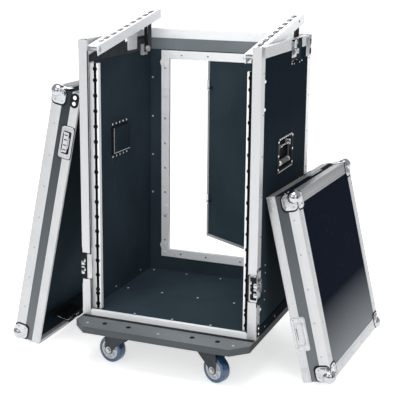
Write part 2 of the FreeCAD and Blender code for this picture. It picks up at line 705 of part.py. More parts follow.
def cover_shapes(cover):
    """Shell, extrusions and corners of a cover; open side at z = 0, outer face at z = thick."""
    wide, tall, thick = cover["wide"], cover["tall"], cover["thick"]

    def inset(amount):
        return (wide - 2 * amount, tall - 2 * amount)

    wall = SKIN + COVER_PLY
    shell = fused([ring_box(inset(SKIN), inset(wall), SKIN, thick - SKIN - COVER_PLY),
                   centred_box(inset(SKIN), thick - SKIN - COVER_PLY, thick - SKIN)])
    rim = fused([ring_box(inset(0), inset(SKIN), 0, cover["rim"]),
                 ring_box(inset(0), inset(wall + SKIN), 0, SKIN),
                 ring_box(inset(wall), inset(wall + SKIN), 0, 14)])
    edge = fused([ring_box(inset(0), inset(SKIN), thick - cover["edge"], thick),
                  ring_box(inset(0), inset(COVER_FACE), thick - SKIN, thick)])
    body = block(-wide / 2, wide / 2, -tall / 2, tall / 2, 0, thick)
    corners = []
    for sx in (-1, 1):
        for sy in (-1, 1):
            centre = Vec(sx * (wide / 2 - BALL_IN), sy * (tall / 2 - BALL_IN), thick - BALL_IN)
            corners.append(Part.makeSphere(BALL_R, centre).cut(body))
    return shell, mitred(rim, inset(0)) + mitred(edge, inset(0)), corners


def cover_plate():
    """Flat catch plate with a raised lip for a latch hook; same frame as a latch dish."""
    plate = block(-PLATE_LEN / 2, PLATE_LEN / 2, 0, PLATE_DEEP, 0, 2)
    window = block(-20, 20, 12, PLATE_DEEP - 12, -1, 3)
    lip = block(-16, 16, 10, 13, 0, 5)
    return plate.cut(window).fuse(lip)


def front_cover_place(shape):
    """Stand the cover on its open edge, leaning on the left side of the case."""
    lean = math.radians(FRONT_COVER["lean"])
    up = (math.sin(lean), 0, math.cos(lean))
    foot_x = -HALF_W - SKIN - 0.4 - FRONT_COVER["tall"] * up[0]
    half = FRONT_COVER["tall"] / 2
    origin = (foot_x + half * up[0], FRONT_COVER_Y, FLOOR + FRONT_COVER["lift"] + half * up[2])
    return framed(shape, origin, (0, -1, 0), up)


def top_cover_place(shape):
    """Stand the cover on its open edge, leaning on the right side of the case."""
    lean = math.radians(TOP_COVER["lean"])
    turn = math.radians(TOP_COVER_TURN)
    along = Vec(math.sin(turn), math.cos(turn), 0)
    away = Vec(math.cos(turn), -math.sin(turn), 0)
    up = away * -math.sin(lean) + Vec(0, 0, math.cos(lean))
    foot = Vec(TOP_COVER_X, TOP_COVER_Y, FLOOR + TOP_COVER["lift"])
    origin = foot + along * (TOP_COVER["wide"] / 2) + up * (TOP_COVER["tall"] / 2)
    return framed(shape, tuple(origin), tuple(along), tuple(up))


def front_cover_nodes():
    shell, profiles, corners = cover_shapes(FRONT_COVER)
    wide, tall = FRONT_COVER["wide"], FRONT_COVER["tall"]
    plate = cover_plate()
    height = tall / 2 - LOW_LATCH_Z
    plates = [framed(plate, (s * wide / 2, height, 0), (0, s, 0), (0, 0, 1)) for s in (-1, 1)]
    dish, hook = latch_dish(END_LATCH_DEEP)
    end = ((30, -tall / 2 + SKIN, 0), (1, 0, 0), (0, 0, 1))
    room = framed(fused([latch_room(END_LATCH_DEEP), block(-16, 16, -1, 12, -9.6, 0)]), *end)
    flange = framed(block(-LATCH_LEN / 2, LATCH_LEN / 2, -1, END_LATCH_DEEP, 0, 3), *end)
    shell = shell.cut([room, flange])
    profiles = [p.cut([room, flange]) for p in profiles]
    nodes = {"front_cover_shell": shell, "front_cover_profiles": group(profiles),
             "front_cover_corners": group(corners),
             "front_cover_catches": group(plates + [framed(dish, *end), framed(hook, *end)]),
             "front_cover_latch_wing": framed(latch_wing(END_LATCH_DEEP), *end)}
    return {name: front_cover_place(shape) for name, shape in nodes.items()}


def top_cover_nodes():
    shell, profiles, corners = cover_shapes(TOP_COVER)
    wide, tall = TOP_COVER["wide"], TOP_COVER["tall"]
    plate = cover_plate()
    along = TOP_LATCH_Y - wide / 2
    plates = [framed(plate, (along, tall / 2, 0), (-1, 0, 0), (0, 0, 1)),
              framed(plate, (along, -tall / 2, 0), (1, 0, 0), (0, 0, 1)),
              framed(plate, (-wide / 2, 143 - tall / 2, 0), (0, -1, 0), (0, 0, 1))]
    nodes = {"top_cover_shell": shell, "top_cover_profiles": group(profiles),
             "top_cover_corners": group(corners), "top_cover_catches": group(plates)}
    return {name: top_cover_place(shape) for name, shape in nodes.items()}


# ---------------------------------------------------------------- assembly
def case_nodes():
    notches = latch_notches()
    right = [n for n in notches if n.BoundBox.Center.x > 0]
    nodes = {"side_panel_right": side_panel(right), "front_post_right": front_post(right),
             "top_profile_right": top_profile(right), "rack_rail_right": rack_rail()}
    for name in list(nodes):
        nodes[name.replace("right", "left")] = mirrored(nodes[name])
    dishes = []
    for name, origin, x_axis, y_axis in latch_frames():
        dishes += [framed(s, origin, x_axis, y_axis) for s in latch_dish(LATCH_DEEP)]
        nodes["latch_wing_" + name] = framed(latch_wing(LATCH_DEEP), origin, x_axis, y_axis)
    dish = handle_dish()
    springs = handle_pin_and_springs()
    grip = handle_grip()
    nodes.update({
        "base_panel": base_panel(), "rear_panel": rear_panel(), "front_sill": front_sill(),
        "rear_profiles": rear_profiles(), "bottom_profiles": bottom_profiles(),
        "door_frame": door_frame(), "case_corners": corner_brackets(), "case_rivets": case_rivets(),
        "rack_nuts": rack_nuts(), "case_latch_dishes": group(dishes),
        "handle_dishes": group([dish, mirrored(dish)]),
        "handle_springs": group(springs + [mirrored(s) for s in springs]),
        "handle_grip_right": grip, "handle_grip_left": mirrored(grip),
        "mixer_rail_right": mixer_rail(), "mixer_rail_left": mirrored(mixer_rail()),
        "mixer_strut_right": mixer_strut(), "mixer_strut_left": mirrored(mixer_strut()),
        "mixer_brackets": mixer_brackets(), "wheel_board": wheel_board_with_holes(),
        "castor_plates": castor_plates(), "castor_bolts": castor_bolts()})
    return nodes


def wheel_board_with_holes():
    return wheel_board().cut([rod(BOLT_HOLE_R, (x, y, -25), (x, y, 5)) for x, y in castor_bolt_spots()])


def all_nodes():
    nodes = case_nodes()
    nodes.update(door_nodes())
    nodes.update(castor_nodes())
    nodes.update(front_cover_nodes())
    nodes.update(top_cover_nodes())
    return nodes


def origin_shift(nodes):
    """Move that brings the middle of the whole set's floor area to the origin."""
    box = FreeCAD.BoundBox()
    for shape in nodes.values():
        box.add(shape.optimalBoundingBox(False, False))
    return Vec(-(box.XMin + box.XMax) / 2, -(box.YMin + box.YMax) / 2, -box.ZMin)


NODES = all_nodes()
SHIFT = origin_shift(NODES)
os.makedirs("parts", exist_ok=True)
for node_name, node_shape in NODES.items():
    node_shape.translate(SHIFT)
    node_shape.exportStep("parts/" + node_name + ".step")
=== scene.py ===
import json
import math
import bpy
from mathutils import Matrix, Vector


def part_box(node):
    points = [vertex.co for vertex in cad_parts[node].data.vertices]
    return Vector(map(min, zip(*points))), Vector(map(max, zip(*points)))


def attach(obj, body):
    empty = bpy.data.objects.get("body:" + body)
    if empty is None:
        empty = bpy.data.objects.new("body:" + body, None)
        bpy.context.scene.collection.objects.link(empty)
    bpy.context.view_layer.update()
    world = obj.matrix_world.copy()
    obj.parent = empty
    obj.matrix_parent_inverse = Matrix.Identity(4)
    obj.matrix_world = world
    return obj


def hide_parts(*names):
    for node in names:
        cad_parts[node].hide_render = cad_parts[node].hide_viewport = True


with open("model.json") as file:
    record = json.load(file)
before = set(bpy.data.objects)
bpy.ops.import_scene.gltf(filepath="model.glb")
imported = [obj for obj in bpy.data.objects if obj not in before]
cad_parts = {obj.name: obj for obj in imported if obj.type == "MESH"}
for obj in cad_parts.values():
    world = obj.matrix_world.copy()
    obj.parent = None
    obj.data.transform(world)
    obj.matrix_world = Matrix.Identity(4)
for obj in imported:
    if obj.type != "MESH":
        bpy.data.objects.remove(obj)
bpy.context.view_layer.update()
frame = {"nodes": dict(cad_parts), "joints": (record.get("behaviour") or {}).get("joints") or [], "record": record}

from types import SimpleNamespace
import bmesh
import bpy
from mathutils import Matrix, Vector

# The looks of a 19-inch rack case that stands open on a castor board, its two covers beside it.
# Pieces are drawn in millimetres, each in a local frame of its own, and scaled to metres.

MM = 0.001
WELD = 0.000002         # vertices closer than this, in metres, are one
FLAT_ANGLE = 0.6        # degrees between faces that count as one flat face
EDGE_ANGLE = 32         # an edge at least this sharp is rounded
SMOOTH_ANGLE = 40       # shading is smooth across a bend smaller than this
SIDES = ((-1, "left"), (1, "right"))
JOINTS = {joint["name"]: joint for joint in frame["joints"]}

# ---- sizes that the looks share with the CAD, in millimetres ----
SKIN = 1.5              # wall of the extrusions
PLY = 9.0               # side, base and rear panels
HALF_W = 269.0          # centre to the outer face of a side panel
CASE_D = 470.0          # depth and height
CASE_H = 812.0
OPENING = (193.0, 82.0, 716.0)      # half width, low edge, high edge of the rear opening
FRAME_FACE = 27.0
DOOR_LATCH_Z = (207.0, 601.0)
FLOOR = -128.0
LATCH_DEEP = 75.0       # dish, away from the edge that it latches
END_LATCH_DEEP = 62.0
LOW_LATCH_Z = 151.0
TOP_LATCH_Y = 322.0
HANDLE_Y = 235.0
HANDLE_Z = 492.0
TRAIL = 32.0            # castor axle behind its swivel
AXLE_Z = FLOOR + 40.0
PEDAL_PIN = (30.2, -35.0)           # behind the swivel, and height
RACK_CENTRES = 465.1
RACK_UNIT = 44.45
FIRST_HOLE = 6.35       # lowest and highest hole of one rack unit
LAST_HOLE = 38.1
RAIL_Y = 25.0
RAIL_FOOT = 14.0
RAIL_LEN = 731.0
MIXER_PIVOT = (21.0, 785.0)         # depth and height of the tilting rails' hinges
MIXER_TILT = 10.4
MIXER_LEN = 436.0
COVER_PLY = 7.0
COVER_FACE = 33.0       # edge profile on a cover's outer face
RIVET_SPACING = 98.0
PLATE_RIVET = (3.2, 1.5)            # radius and height
FRONT_COVER = SimpleNamespace(wide=538.0, tall=800.0, thick=89.0, rim=25.5, edge=34.5, lean=11.6,
                              lift=1.2, middle_y=278.0)
TOP_COVER = SimpleNamespace(wide=492.0, tall=538.0, thick=88.0, rim=26.0, edge=30.0, lean=13.4,
                            lift=2.8, turn=2.9, foot=(396.5, 51.0))

# ---- camera ----
CAMERA_PLACE = (1102.3, -2524.2, 1076.5)
CAMERA_YAW = 21.84
CAMERA_PITCH = 13.005
CAMERA_ROLL = 0.478
CAMERA_LENS = 91.43
CAMERA_SHIFT = (0.0075, -0.055)

# ---- studio, in metres and watts ----
FLOOR_HALF = 60
FLOOR_DROP = 0.0005     # the floor lies just under the wheels
SKY = ((0.96, 0.98, 1, 1), 0.52)
FLAG = (0.8, 0.95)      # half width and half height of a dark card
FLAGS = (("flag_left", (-1.9, -2.2, 1.0), 40), ("flag_right", (2.4, -1.2, 1.0), -65),
         ("flag_front", (0.6, -3.4, 0.6), 5))
LIGHTS = (
    ("key", (-1.0, -3.8, 2.6), (0, 0, 0.5), (2.6, 2.2), 22),
    ("front", (0.9, -3.9, 1.3), (0, 0.2, 0.5), (1.4, 1.4), 16),
    ("fill", (2.6, -2.4, 2.2), (0.1, 0, 0.5), (1.6, 2.2), 17),
    ("top", (0.0, -0.9, 3.3), (0, 0.4, 0.6), (2.2, 1.6), 56),
    ("back", (-1.5, 3.2, 2.4), (0, 0, 0.5), (2.2, 1.8), 34),
)


# ---- places ----
def case_origin():
    """Middle of the case's bottom front edge, in the row frame."""
    base_low, base_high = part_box("base_panel")
    side_low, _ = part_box("side_panel_right")
    return Vector(((base_low.x + base_high.x) / 2, side_low.y - SKIN * MM, side_low.z))


ORIGIN = case_origin()


def local_frame(origin, x_axis, y_axis):
    """Matrix of a frame in case millimetres, given its x and y directions."""
    x_dir = Vector(x_axis).normalized()
    y_dir = Vector(y_axis).normalized()
    z_dir = x_dir.cross(y_dir)
    turn = Matrix((x_dir, y_dir, z_dir)).transposed().to_4x4()
    return Matrix.Translation(Vector(origin)) @ turn


def to_row(place):
    """A frame in case millimetres as a matrix in the row frame, in metres."""
    made = place.copy()
    made.translation = ORIGIN + place.to_translation() * MM
    return made


def from_row(point):
    """A point of the row frame in case millimetres."""
    return (Vector(point) - ORIGIN) / MM


CASE = Matrix.Identity(4)


def moved(x, y, z):
    return Matrix.Translation((x, y, z))


def spun(degrees, axis="Z"):
    return Matrix.Rotation(math.radians(degrees), 4, axis)


def beside(side, x, y, z):
    """Upright frame on the left (-1) or right (1), its y up and its z outward."""
    return local_frame((side * x, y, z), (0, side, 0), (0, 0, 1))


# ---- objects ----
def linked(name, data):
    """A new object in the scene."""
    made = bpy.data.objects.new(name, data)
    bpy.context.scene.collection.objects.link(made)
    return made


def mesh_from(name, bm):
    """A mesh with the content of a bmesh, which is used up."""
    mesh = bpy.data.meshes.new(name)
    bm.to_mesh(mesh)
    bm.free()
    return mesh


# ---- camera, floor and light ----
def make_camera():
    data = bpy.data.cameras.new("camera")
    data.lens = CAMERA_LENS
    data.sensor_width = 36
    data.shift_x, data.shift_y = CAMERA_SHIFT
    data.clip_end = 200
    camera = linked("camera", data)
    turn = spun(CAMERA_YAW) @ spun(90 - CAMERA_PITCH, "X") @ spun(CAMERA_ROLL)
    camera.matrix_world = Matrix.Translation(ORIGIN + Vector(CAMERA_PLACE) * MM) @ turn
    bpy.context.scene.camera = camera


def area_light(name, place, target, size, power):
    data = bpy.data.lights.new(name, "AREA")
    data.shape = "RECTANGLE"
    data.size, data.size_y = size
    data.energy = power
    light = linked(name, data)
    light.location = place
    aim = Vector(target) - Vector(place)
    light.rotation_euler = aim.to_track_quat("-Z", "Y").to_euler()


def dark_flag(name, place, turn):
    """Black card that only shows as a reflection in the bright metal."""
    mat, _ = shader(name, Base_Color=(0.004, 0.004, 0.005, 1), Roughness=1.0)
    bm = bmesh.new()
    wide, tall = FLAG
    corners = [(-wide, 0, -tall), (wide, 0, -tall), (wide, 0, tall), (-wide, 0, tall)]
    bm.faces.new([bm.verts.new(c) for c in corners])
    card = linked(name, mesh_from(name, bm))
    card.data.materials.append(mat)
    card.location = place
    card.rotation_euler = (0, 0, math.radians(turn))
    card.visible_camera = False
    card.visible_diffuse = False
    card.visible_shadow = False


def make_floor():
    mat, _ = shader("floor_white", Base_Color=(0.86, 0.86, 0.86, 1), Roughness=0.9,
                    Emission_Color=(1, 1, 1, 1), Emission_Strength=0.62)
    bm = bmesh.new()
    bmesh.ops.create_grid(bm, x_segments=1, y_segments=1, size=FLOOR_HALF)
    floor = linked("floor", mesh_from("floor", bm))
    floor.data.materials.append(mat)
    floor.location = (0, 0, -FLOOR_DROP)


def make_studio():
    make_floor()
    for flag in FLAGS:
        dark_flag(*flag)
    world = bpy.data.worlds.new("studio")
    world.use_nodes = True
    sky = world.node_tree.nodes["Background"]
    sky.inputs["Color"].default_value, sky.inputs["Strength"].default_value = SKY
    scene = bpy.context.scene
    scene.world = world
    for light in LIGHTS:
        area_light(*light)
    scene.view_settings.view_transform = "Standard"
    scene.view_settings.exposure = 0.0


# ---- material helpers ----
def shader(name, **sockets):
    """A material with one Principled shader, its sockets set to plain values."""
    mat = bpy.data.materials.new(name)
    mat.use_nodes = True
    principled = mat.node_tree.nodes["Principled BSDF"]
    for socket, value in sockets.items():
        principled.inputs[socket.replace("_", " ")].default_value = value
    return mat, principled


def node(mat, kind, settings=None, **inputs):
    made = mat.node_tree.nodes.new("ShaderNode" + kind)
    for key, value in (settings or {}).items():
        setattr(made, key, value)
    for key, value in inputs.items():
        feed(mat, made.inputs[key.replace("_", " ")], value)
    return made


def feed(mat, socket, value):
    if isinstance(value, bpy.types.NodeSocket):
        mat.node_tree.links.new(value, socket)
    else:
        socket.default_value = value


def noise(mat, scale, detail, stretch=(1, 1, 1)):
    """Noise over the piece's own coordinates, in metres; stretch squeezes it along an axis."""
    coordinates = node(mat, "TexCoord").outputs["Object"]
    squeezed = node(mat, "Mapping", Vector=coordinates, Scale=stretch).outputs["Vector"]
    return node(mat, "TexNoise", Vector=squeezed, Scale=scale, Detail=detail).outputs["Fac"]


def remap(mat, value, low=0.3, high=0.7, out_low=0.0, out_high=1.0):
    made = node(mat, "MapRange", Value=value, From_Min=low, From_Max=high, To_Min=out_low, To_Max=out_high)
    return made.outputs["Result"]


def grey(level):
    """Neutral colour, very slightly blue."""
    return (level * 0.985, level * 0.995, level * 1.01, 1)


def blend_colours(mat, factor, first, second):
    made = node(mat, "Mix", {"data_type": "RGBA"})
    feed(mat, made.inputs[0], factor)
    feed(mat, made.inputs[6], first)
    feed(mat, made.inputs[7], second)
    return made.outputs[2]


def multiply(mat, first, second):
    made = node(mat, "Math", {"operation": "MULTIPLY"})
    feed(mat, made.inputs[0], first)
    feed(mat, made.inputs[1], second)
    return made.outputs[0]


def worn_edges(mat, strength):
    """1 close to an edge, broken up by noise; 0 on flat faces."""
    rounded = node(mat, "Bevel", {"samples": 4}, Radius=0.0007).outputs["Normal"]
    same = node(mat, "VectorMath", {"operation": "DOT_PRODUCT"})
    feed(mat, same.inputs[0], rounded)
    feed(mat, same.inputs[1], node(mat, "NewGeometry").outputs["Normal"])
    sharp = remap(mat, same.outputs["Value"], 0.96, 0.80, 0.0, strength)
    patches = remap(mat, noise(mat, 60, 4), 0.42, 0.62)
    return multiply(mat, sharp, patches)


def scratches(mat, scale, stretch, amount):
    """Thin sparse lines along one direction."""
    lines = remap(mat, noise(mat, scale, 2, stretch), 0.66, 0.72, 0.0, amount)
    patches = remap(mat, noise(mat, 9, 2), 0.45, 0.6)
    return multiply(mat, lines, patches)


def bump(mat, height, strength, distance):
    return node(mat, "Bump", Height=height, Strength=strength, Distance=distance).outputs["Normal"]


# ---- materials ----
SCUFF = (0.09, 0.10, 0.11, 1)
NEARLY_MATT = 0.001     # specular level of the laminates


def grain_stretch(axis, ratio=0.03):
    """Mapping scale that draws noise out along one local axis."""
    return tuple(ratio if k == axis else 1.0 for k in range(3))


def dressed(mat, principled, colour, texture, rough, relief, spread=(0.3, 0.7)):
    """Sets the colour, and the roughness and relief that follow one texture."""
    feed(mat, principled.inputs["Base Color"], colour)
    feed(mat, principled.inputs["Roughness"], remap(mat, texture, *spread, *rough))
    feed(mat, principled.inputs["Normal"], bump(mat, texture, *relief))
    return mat


def make_aluminium(name, axis, tone, metallic):
    """Satin anodised extrusion with die lines along its length."""
    mat, principled = shader(name, Metallic=metallic, Anisotropic=0.3)
    tint = remap(mat, noise(mat, 14, 3, grain_stretch(axis, 0.2)))
    # tone lightens or darkens the colour for the copies that carry painted light and shade
    colour = blend_colours(mat, tint, grey(0.555 * tone), grey(0.59 * tone))
    wear = scratches(mat, 900, grain_stretch(axis, 0.02), 0.7)
    colour = blend_colours(mat, wear, colour, (0.26, 0.27, 0.29, 1))
    colour = blend_colours(mat, worn_edges(mat, 0.5), colour, (0.93, 0.93, 0.93, 1))
    die_lines = noise(mat, 1600, 2, grain_stretch(axis))
    return dressed(mat, principled, colour, die_lines, (0.36, 0.56), (0.25, 0.00004), (0.2, 0.8))


def make_laminate(name, dark, light, rough):
    """Black phenolic laminate: fine grain, faint cloudiness, light scuffs."""
    mat, principled = shader(name, Specular_IOR_Level=NEARLY_MATT)
    colour = blend_colours(mat, remap(mat, noise(mat, 5, 4)), dark, light)
    colour = blend_colours(mat, scratches(mat, 260, (1, 1, 0.05), 0.35), colour, SCUFF)
    feed(mat, principled.inputs["Base Color"], colour)
    smudge = remap(mat, noise(mat, 11, 3), 0.3, 0.7, rough - 0.06, rough + 0.08)
    feed(mat, principled.inputs["Roughness"], smudge)
    feed(mat, principled.inputs["Normal"], bump(mat, noise(mat, 1400, 3), 0.35, 0.00012))
    return mat


def make_painted_gradient(name, dark, light, high, low):
    """Laminate painted lighter from one height down to a lower one: painted light and reflection of the bright
    floor.
    """
    mat, principled = shader(name, Roughness=0.42, Specular_IOR_Level=NEARLY_MATT)
    place = node(mat, "TexCoord").outputs["Object"]
    # Painted light: the colour lightens towards the floor, broken a little by noise.
    fade = remap(mat, node(mat, "SeparateXYZ", Vector=place).outputs["Z"], high, low)
    cloud = multiply(mat, fade, remap(mat, noise(mat, 5, 3), 0.2, 0.8, 0.85, 1.0))
    tone = blend_colours(mat, cloud, dark, light)
    tone = blend_colours(mat, scratches(mat, 260, (1, 1, 0.05), 0.25), tone, SCUFF)
    feed(mat, principled.inputs["Base Color"], tone)
    feed(mat, principled.inputs["Normal"], bump(mat, noise(mat, 1400, 3), 0.35, 0.00012))
    return mat


def make_plated(name, level, rough):
    """Plated steel: mirror-like, with fine scratches and fingerprints."""
    mat, principled = shader(name, Metallic=1.0)
    colour = (level, level + 0.01, level + 0.03, 1)
    dull = tuple(c * 0.86 for c in colour[:3]) + (1,)
    tone = blend_colours(mat, remap(mat, noise(mat, 45, 5), 0.45, 0.65), colour, dull)
    tone = blend_colours(mat, worn_edges(mat, 0.7), tone, (0.95, 0.95, 0.95, 1))
    lines = noise(mat, 700, 4, (1, 0.15, 1))
    return dressed(mat, principled, tone, lines, (rough, rough + 0.12), (0.12, 0.00003))


def make_paint(name, dark, light, rough):
    """Powder coat: orange-peel bump, worn to bright metal on its edges."""
    mat, principled = shader(name, Specular_IOR_Level=0.008)
    tone = blend_colours(mat, remap(mat, noise(mat, 30, 3)), dark, light)
    tone = blend_colours(mat, worn_edges(mat, 0.3), tone, (0.14, 0.14, 0.15, 1))
    return dressed(mat, principled, tone, noise(mat, 900, 2), (rough - 0.05, rough + 0.08), (0.25, 0.00008))


def make_rubber(name, dark, light, rough):
    """Dusty rubber with fine pores."""
    mat, principled = shader(name, Specular_IOR_Level=0.06)
    tone = blend_colours(mat, remap(mat, noise(mat, 40, 5), 0.45, 0.75), dark, light)
    return dressed(mat, principled, tone, noise(mat, 1800, 3), (rough - 0.06, rough + 0.1), (0.3, 0.0001))


def make_tyre(name):
    """Glossy cast polyurethane, faintly streaked, dusty where it rolls."""
    mat, principled = shader(name, Coat_Weight=0.6, Coat_Roughness=0.08)
    streak = remap(mat, noise(mat, 40, 3))
    tone = blend_colours(mat, streak, (0.004, 0.026, 0.070, 1), (0.012, 0.062, 0.145, 1))
    dust = remap(mat, noise(mat, 120, 5), 0.55, 0.8, 0, 0.5)
    tone = blend_colours(mat, dust, tone, (0.07, 0.11, 0.19, 1))
    return dressed(mat, principled, tone, noise(mat, 600, 3), (0.22, 0.38), (0.12, 0.0001))


def make_hub(name):
    """Moulded nylon with faint grey stains."""
    mat, principled = shader(name)
    stain = remap(mat, noise(mat, 50, 4), 0.3, 0.75)
    tone = blend_colours(mat, stain, (0.60, 0.62, 0.64, 1), (0.48, 0.50, 0.52, 1))
    return dressed(mat, principled, tone, noise(mat, 900, 2), (0.35, 0.5), (0.15, 0.0001))


def make_board(name, dark, light):
    """Dark film-faced plywood: brushed coat, scuffed and lighter along its edges."""
    mat, principled = shader(name, Specular_IOR_Level=0.4)
    tone = blend_colours(mat, remap(mat, noise(mat, 7, 5, (0.4, 1, 1))), dark, light)
    tone = blend_colours(mat, scratches(mat, 240, (0.05, 1, 1), 0.5), tone, (0.14, 0.15, 0.155, 1))
    tone = blend_colours(mat, worn_edges(mat, 0.7), tone, (0.13, 0.14, 0.14, 1))
    return dressed(mat, principled, tone, noise(mat, 500, 4, (0.25, 1, 1)), (0.42, 0.6), (0.4, 0.0002))


# Each finish has a maker and what it takes; where it takes two colours, they are mottled, save in the painted
# gradients, which run from the first to the second towards the floor.
RECIPES = {
    "laminate_black": (make_laminate, (0.0070, 0.0125, 0.0185, 1), (0.0100, 0.0165, 0.0235, 1), 0.42),
    # A lighter copy of the laminate for faces inside the case and the covers, and for the rear door: painted
    # light.
    "laminate_inner": (make_laminate, (0.026, 0.040, 0.051, 1), (0.037, 0.055, 0.068, 1), 0.42),
    "header_coat": (make_laminate, (0.155, 0.178, 0.190, 1), (0.205, 0.230, 0.245, 1), 0.4),
    # Painted gradients, lighter towards the floor: a painted floor reflection on the top cover's face, painted
    # light on the panels' outsides and the covers' sides.
    "laminate_sheen": (make_painted_gradient, (0.0050, 0.0080, 0.0160, 1), (0.29, 0.31, 0.33, 1), 0.10, -0.11),
    "laminate_panel": (make_painted_gradient, (0.0065, 0.0115, 0.0175, 1), (0.030, 0.046, 0.058, 1), 0.62, 0.05),
    "laminate_side": (make_painted_gradient, (0.028, 0.036, 0.043, 1), (0.160, 0.172, 0.184, 1), 0.66, -0.10),
    "chrome": (make_plated, 0.50, 0.07),
    "zinc": (make_plated, 0.42, 0.26),
    "paint_black": (make_paint, (0.012, 0.012, 0.013, 1), (0.022, 0.022, 0.024, 1), 0.36),
    "paint_grey": (make_paint, (0.046, 0.050, 0.055, 1), (0.066, 0.071, 0.077, 1), 0.4),
    "rubber_grip": (make_rubber, (0.11, 0.12, 0.125, 1), (0.18, 0.19, 0.20, 1), 0.5),
    "nut_black": (make_rubber, (0.006, 0.006, 0.007, 1), (0.014, 0.014, 0.015, 1), 0.4),
    "tyre_blue": (make_tyre,),
    "hub_plastic": (make_hub,),
    # One board coat in three tones by face, top lightest and sides darkest: painted light and shade.
    "board_top": (make_board, (0.105, 0.118, 0.128, 1), (0.155, 0.172, 0.186, 1)),
    "board_front": (make_board, (0.030, 0.037, 0.042, 1), (0.050, 0.060, 0.067, 1)),
    "board_side": (make_board, (0.008, 0.010, 0.011, 1), (0.016, 0.019, 0.021, 1)),
}
# Aluminium's name ends in the axis of its die lines. Its lighter and darker copies are painted light and shade:
# the bright one for profiles inside the case and small bright parts, the two shaded ones for the covers' ends and
# the door's edge.
COATS = (("", 1.0, 0.5), ("_pale", 1.56, 0.1), ("_painted_half_shade", 0.62, 0.75), ("_painted_deep_shade", 0.17, 0.3))
for kind, tone, metallic in COATS:
    for axis in range(3):
        RECIPES["aluminium" + kind + "_" + "xyz"[axis]] = (make_aluminium, axis, tone, metallic)
FINISHES = {}


def finish(name):
    """The material of that name, made the first time that it is asked for."""
    if name not in FINISHES:
        maker, *settings = RECIPES[name]
        FINISHES[name] = maker(name, *settings)
    return FINISHES[name]


# ---- mesh helpers ----
def softened(mesh_object, width):
    """Small rounded edges, so that every edge catches the light."""
    bevel = mesh_object.modifiers.new("edges", "BEVEL")
    bevel.width = width * MM
    bevel.segments = 2
    bevel.limit_method = "ANGLE"
    bevel.angle_limit = math.radians(EDGE_ANGLE)
    bevel.use_clamp_overlap = True
    bevel.miter_outer = "MITER_ARC"
    mesh_object.modifiers.new("normals", "WEIGHTED_NORMAL").keep_sharp = True


def piece(name, bm, finishes, body, place=CASE, nodes=(), edge=None, angle=SMOOTH_ANGLE):
    """Turn a bmesh in local millimetres into a named piece that rides on a body."""
    bmesh.ops.recalc_face_normals(bm, faces=bm.faces)
    bm.transform(Matrix.Scale(MM, 4))
    mesh = mesh_from(name, bm)
    for finish_name in finishes.split():
        mesh.materials.append(finish(finish_name))
    mesh.shade_smooth()
    mesh.set_sharp_from_angle(angle=math.radians(angle))
    made = linked(name, mesh)
    made.matrix_world = to_row(place)
    if edge:
        softened(made, edge)
    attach(made, body)
    if nodes:
        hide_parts(*nodes)


def body_of_node(name):
    return next(body for body, nodes in frame["record"]["behaviour"]["bodies"].items() if name in nodes)


RING_NODES = ("door_frame", "rear_panel", "rear_door_edge")     # flat faces with a hole stay triangulated


def refined(node_names, finishes, edge, pick=None):
    """Copies of CAD nodes with rounded edges; pick(centre, normal) chooses a face's finish."""
    for node_name in node_names.split():
        bm = bmesh.new()
        bm.from_mesh(frame["nodes"][node_name].data)
        bmesh.ops.remove_doubles(bm, verts=bm.verts, dist=WELD)
        if node_name not in RING_NODES:
            flat = math.radians(FLAT_ANGLE)
            bmesh.ops.dissolve_limit(bm, angle_limit=flat, verts=bm.verts, edges=bm.edges)
        bm.transform(Matrix.Scale(1 / MM, 4) @ Matrix.Translation(-ORIGIN))
        for face in bm.faces:
            face.material_index = pick(face.calc_center_median(), face.normal) if pick else 0
        piece(node_name + "_finished", bm, finishes, body_of_node(node_name), CASE, [node_name], edge)


def skin(bm, rings, mat=0, place=CASE, looped=False):
    """Surface through rings of points; capped at both ends unless it loops back."""
    rows = [[bm.verts.new(place @ Vector(p)) for p in ring] for ring in rings]
    pairs = list(zip(rows, rows[1:]))
    if looped:
        pairs.append((rows[-1], rows[0]))
    faces = []
    for first, second in pairs:
        for k in range(len(first)):
            n = (k + 1) % len(first)
            faces.append(bm.faces.new((first[k], first[n], second[n], second[k])))
    if not looped:
        faces += [bm.faces.new(rows[0][::-1]), bm.faces.new(rows[-1])]
    for face in faces:
        face.material_index = mat


def circle(z, radius, count):
    turns = [2 * math.pi * k / count for k in range(count)]
    return [(radius * math.cos(a), radius * math.sin(a), z) for a in turns]


def round_rect(z, wide, tall, radius, centre=(0, 0)):
    points = []
    steps = 4
    for sx, sy, start in ((1, 1, 0), (-1, 1, 90), (-1, -1, 180), (1, -1, 270)):
        for k in range(steps + 1):
            a = math.radians(start + 90 * k / steps)
            x = centre[0] + sx * (wide / 2 - radius) + radius * math.cos(a)
            points.append((x, centre[1] + sy * (tall / 2 - radius) + radius * math.sin(a), z))
    return points


def turned(bm, profile, mat=0, place=CASE, count=24, looped=False):
    """Solid of revolution about the local z axis, from (z, radius) pairs."""
    skin(bm, [circle(z, radius, count) for z, radius in profile], mat, place, looped)


def hoop(bm, profile, mat, place, count):
    """Ring about the local z axis, from a closed profile of (z, radius) pairs."""
    turned(bm, profile, mat, place, count, looped=True)


def slab(bm, low, high, mat=0, place=CASE):
    """Box between two opposite corners."""
    (x0, x1), (y0, y1), (z0, z1) = (sorted(pair) for pair in zip(low, high))
    corners = [(x0, y0), (x1, y0), (x1, y1), (x0, y1)]
    skin(bm, [[(x, y, z) for x, y in corners] for z in (z0, z1)], mat, place)


def extruded(bm, outline, run, mat=0, place=CASE):
    """Prism over a flat outline of 3-D points."""
    skin(bm, [outline, [Vector(p) + Vector(run) for p in outline]], mat, place)


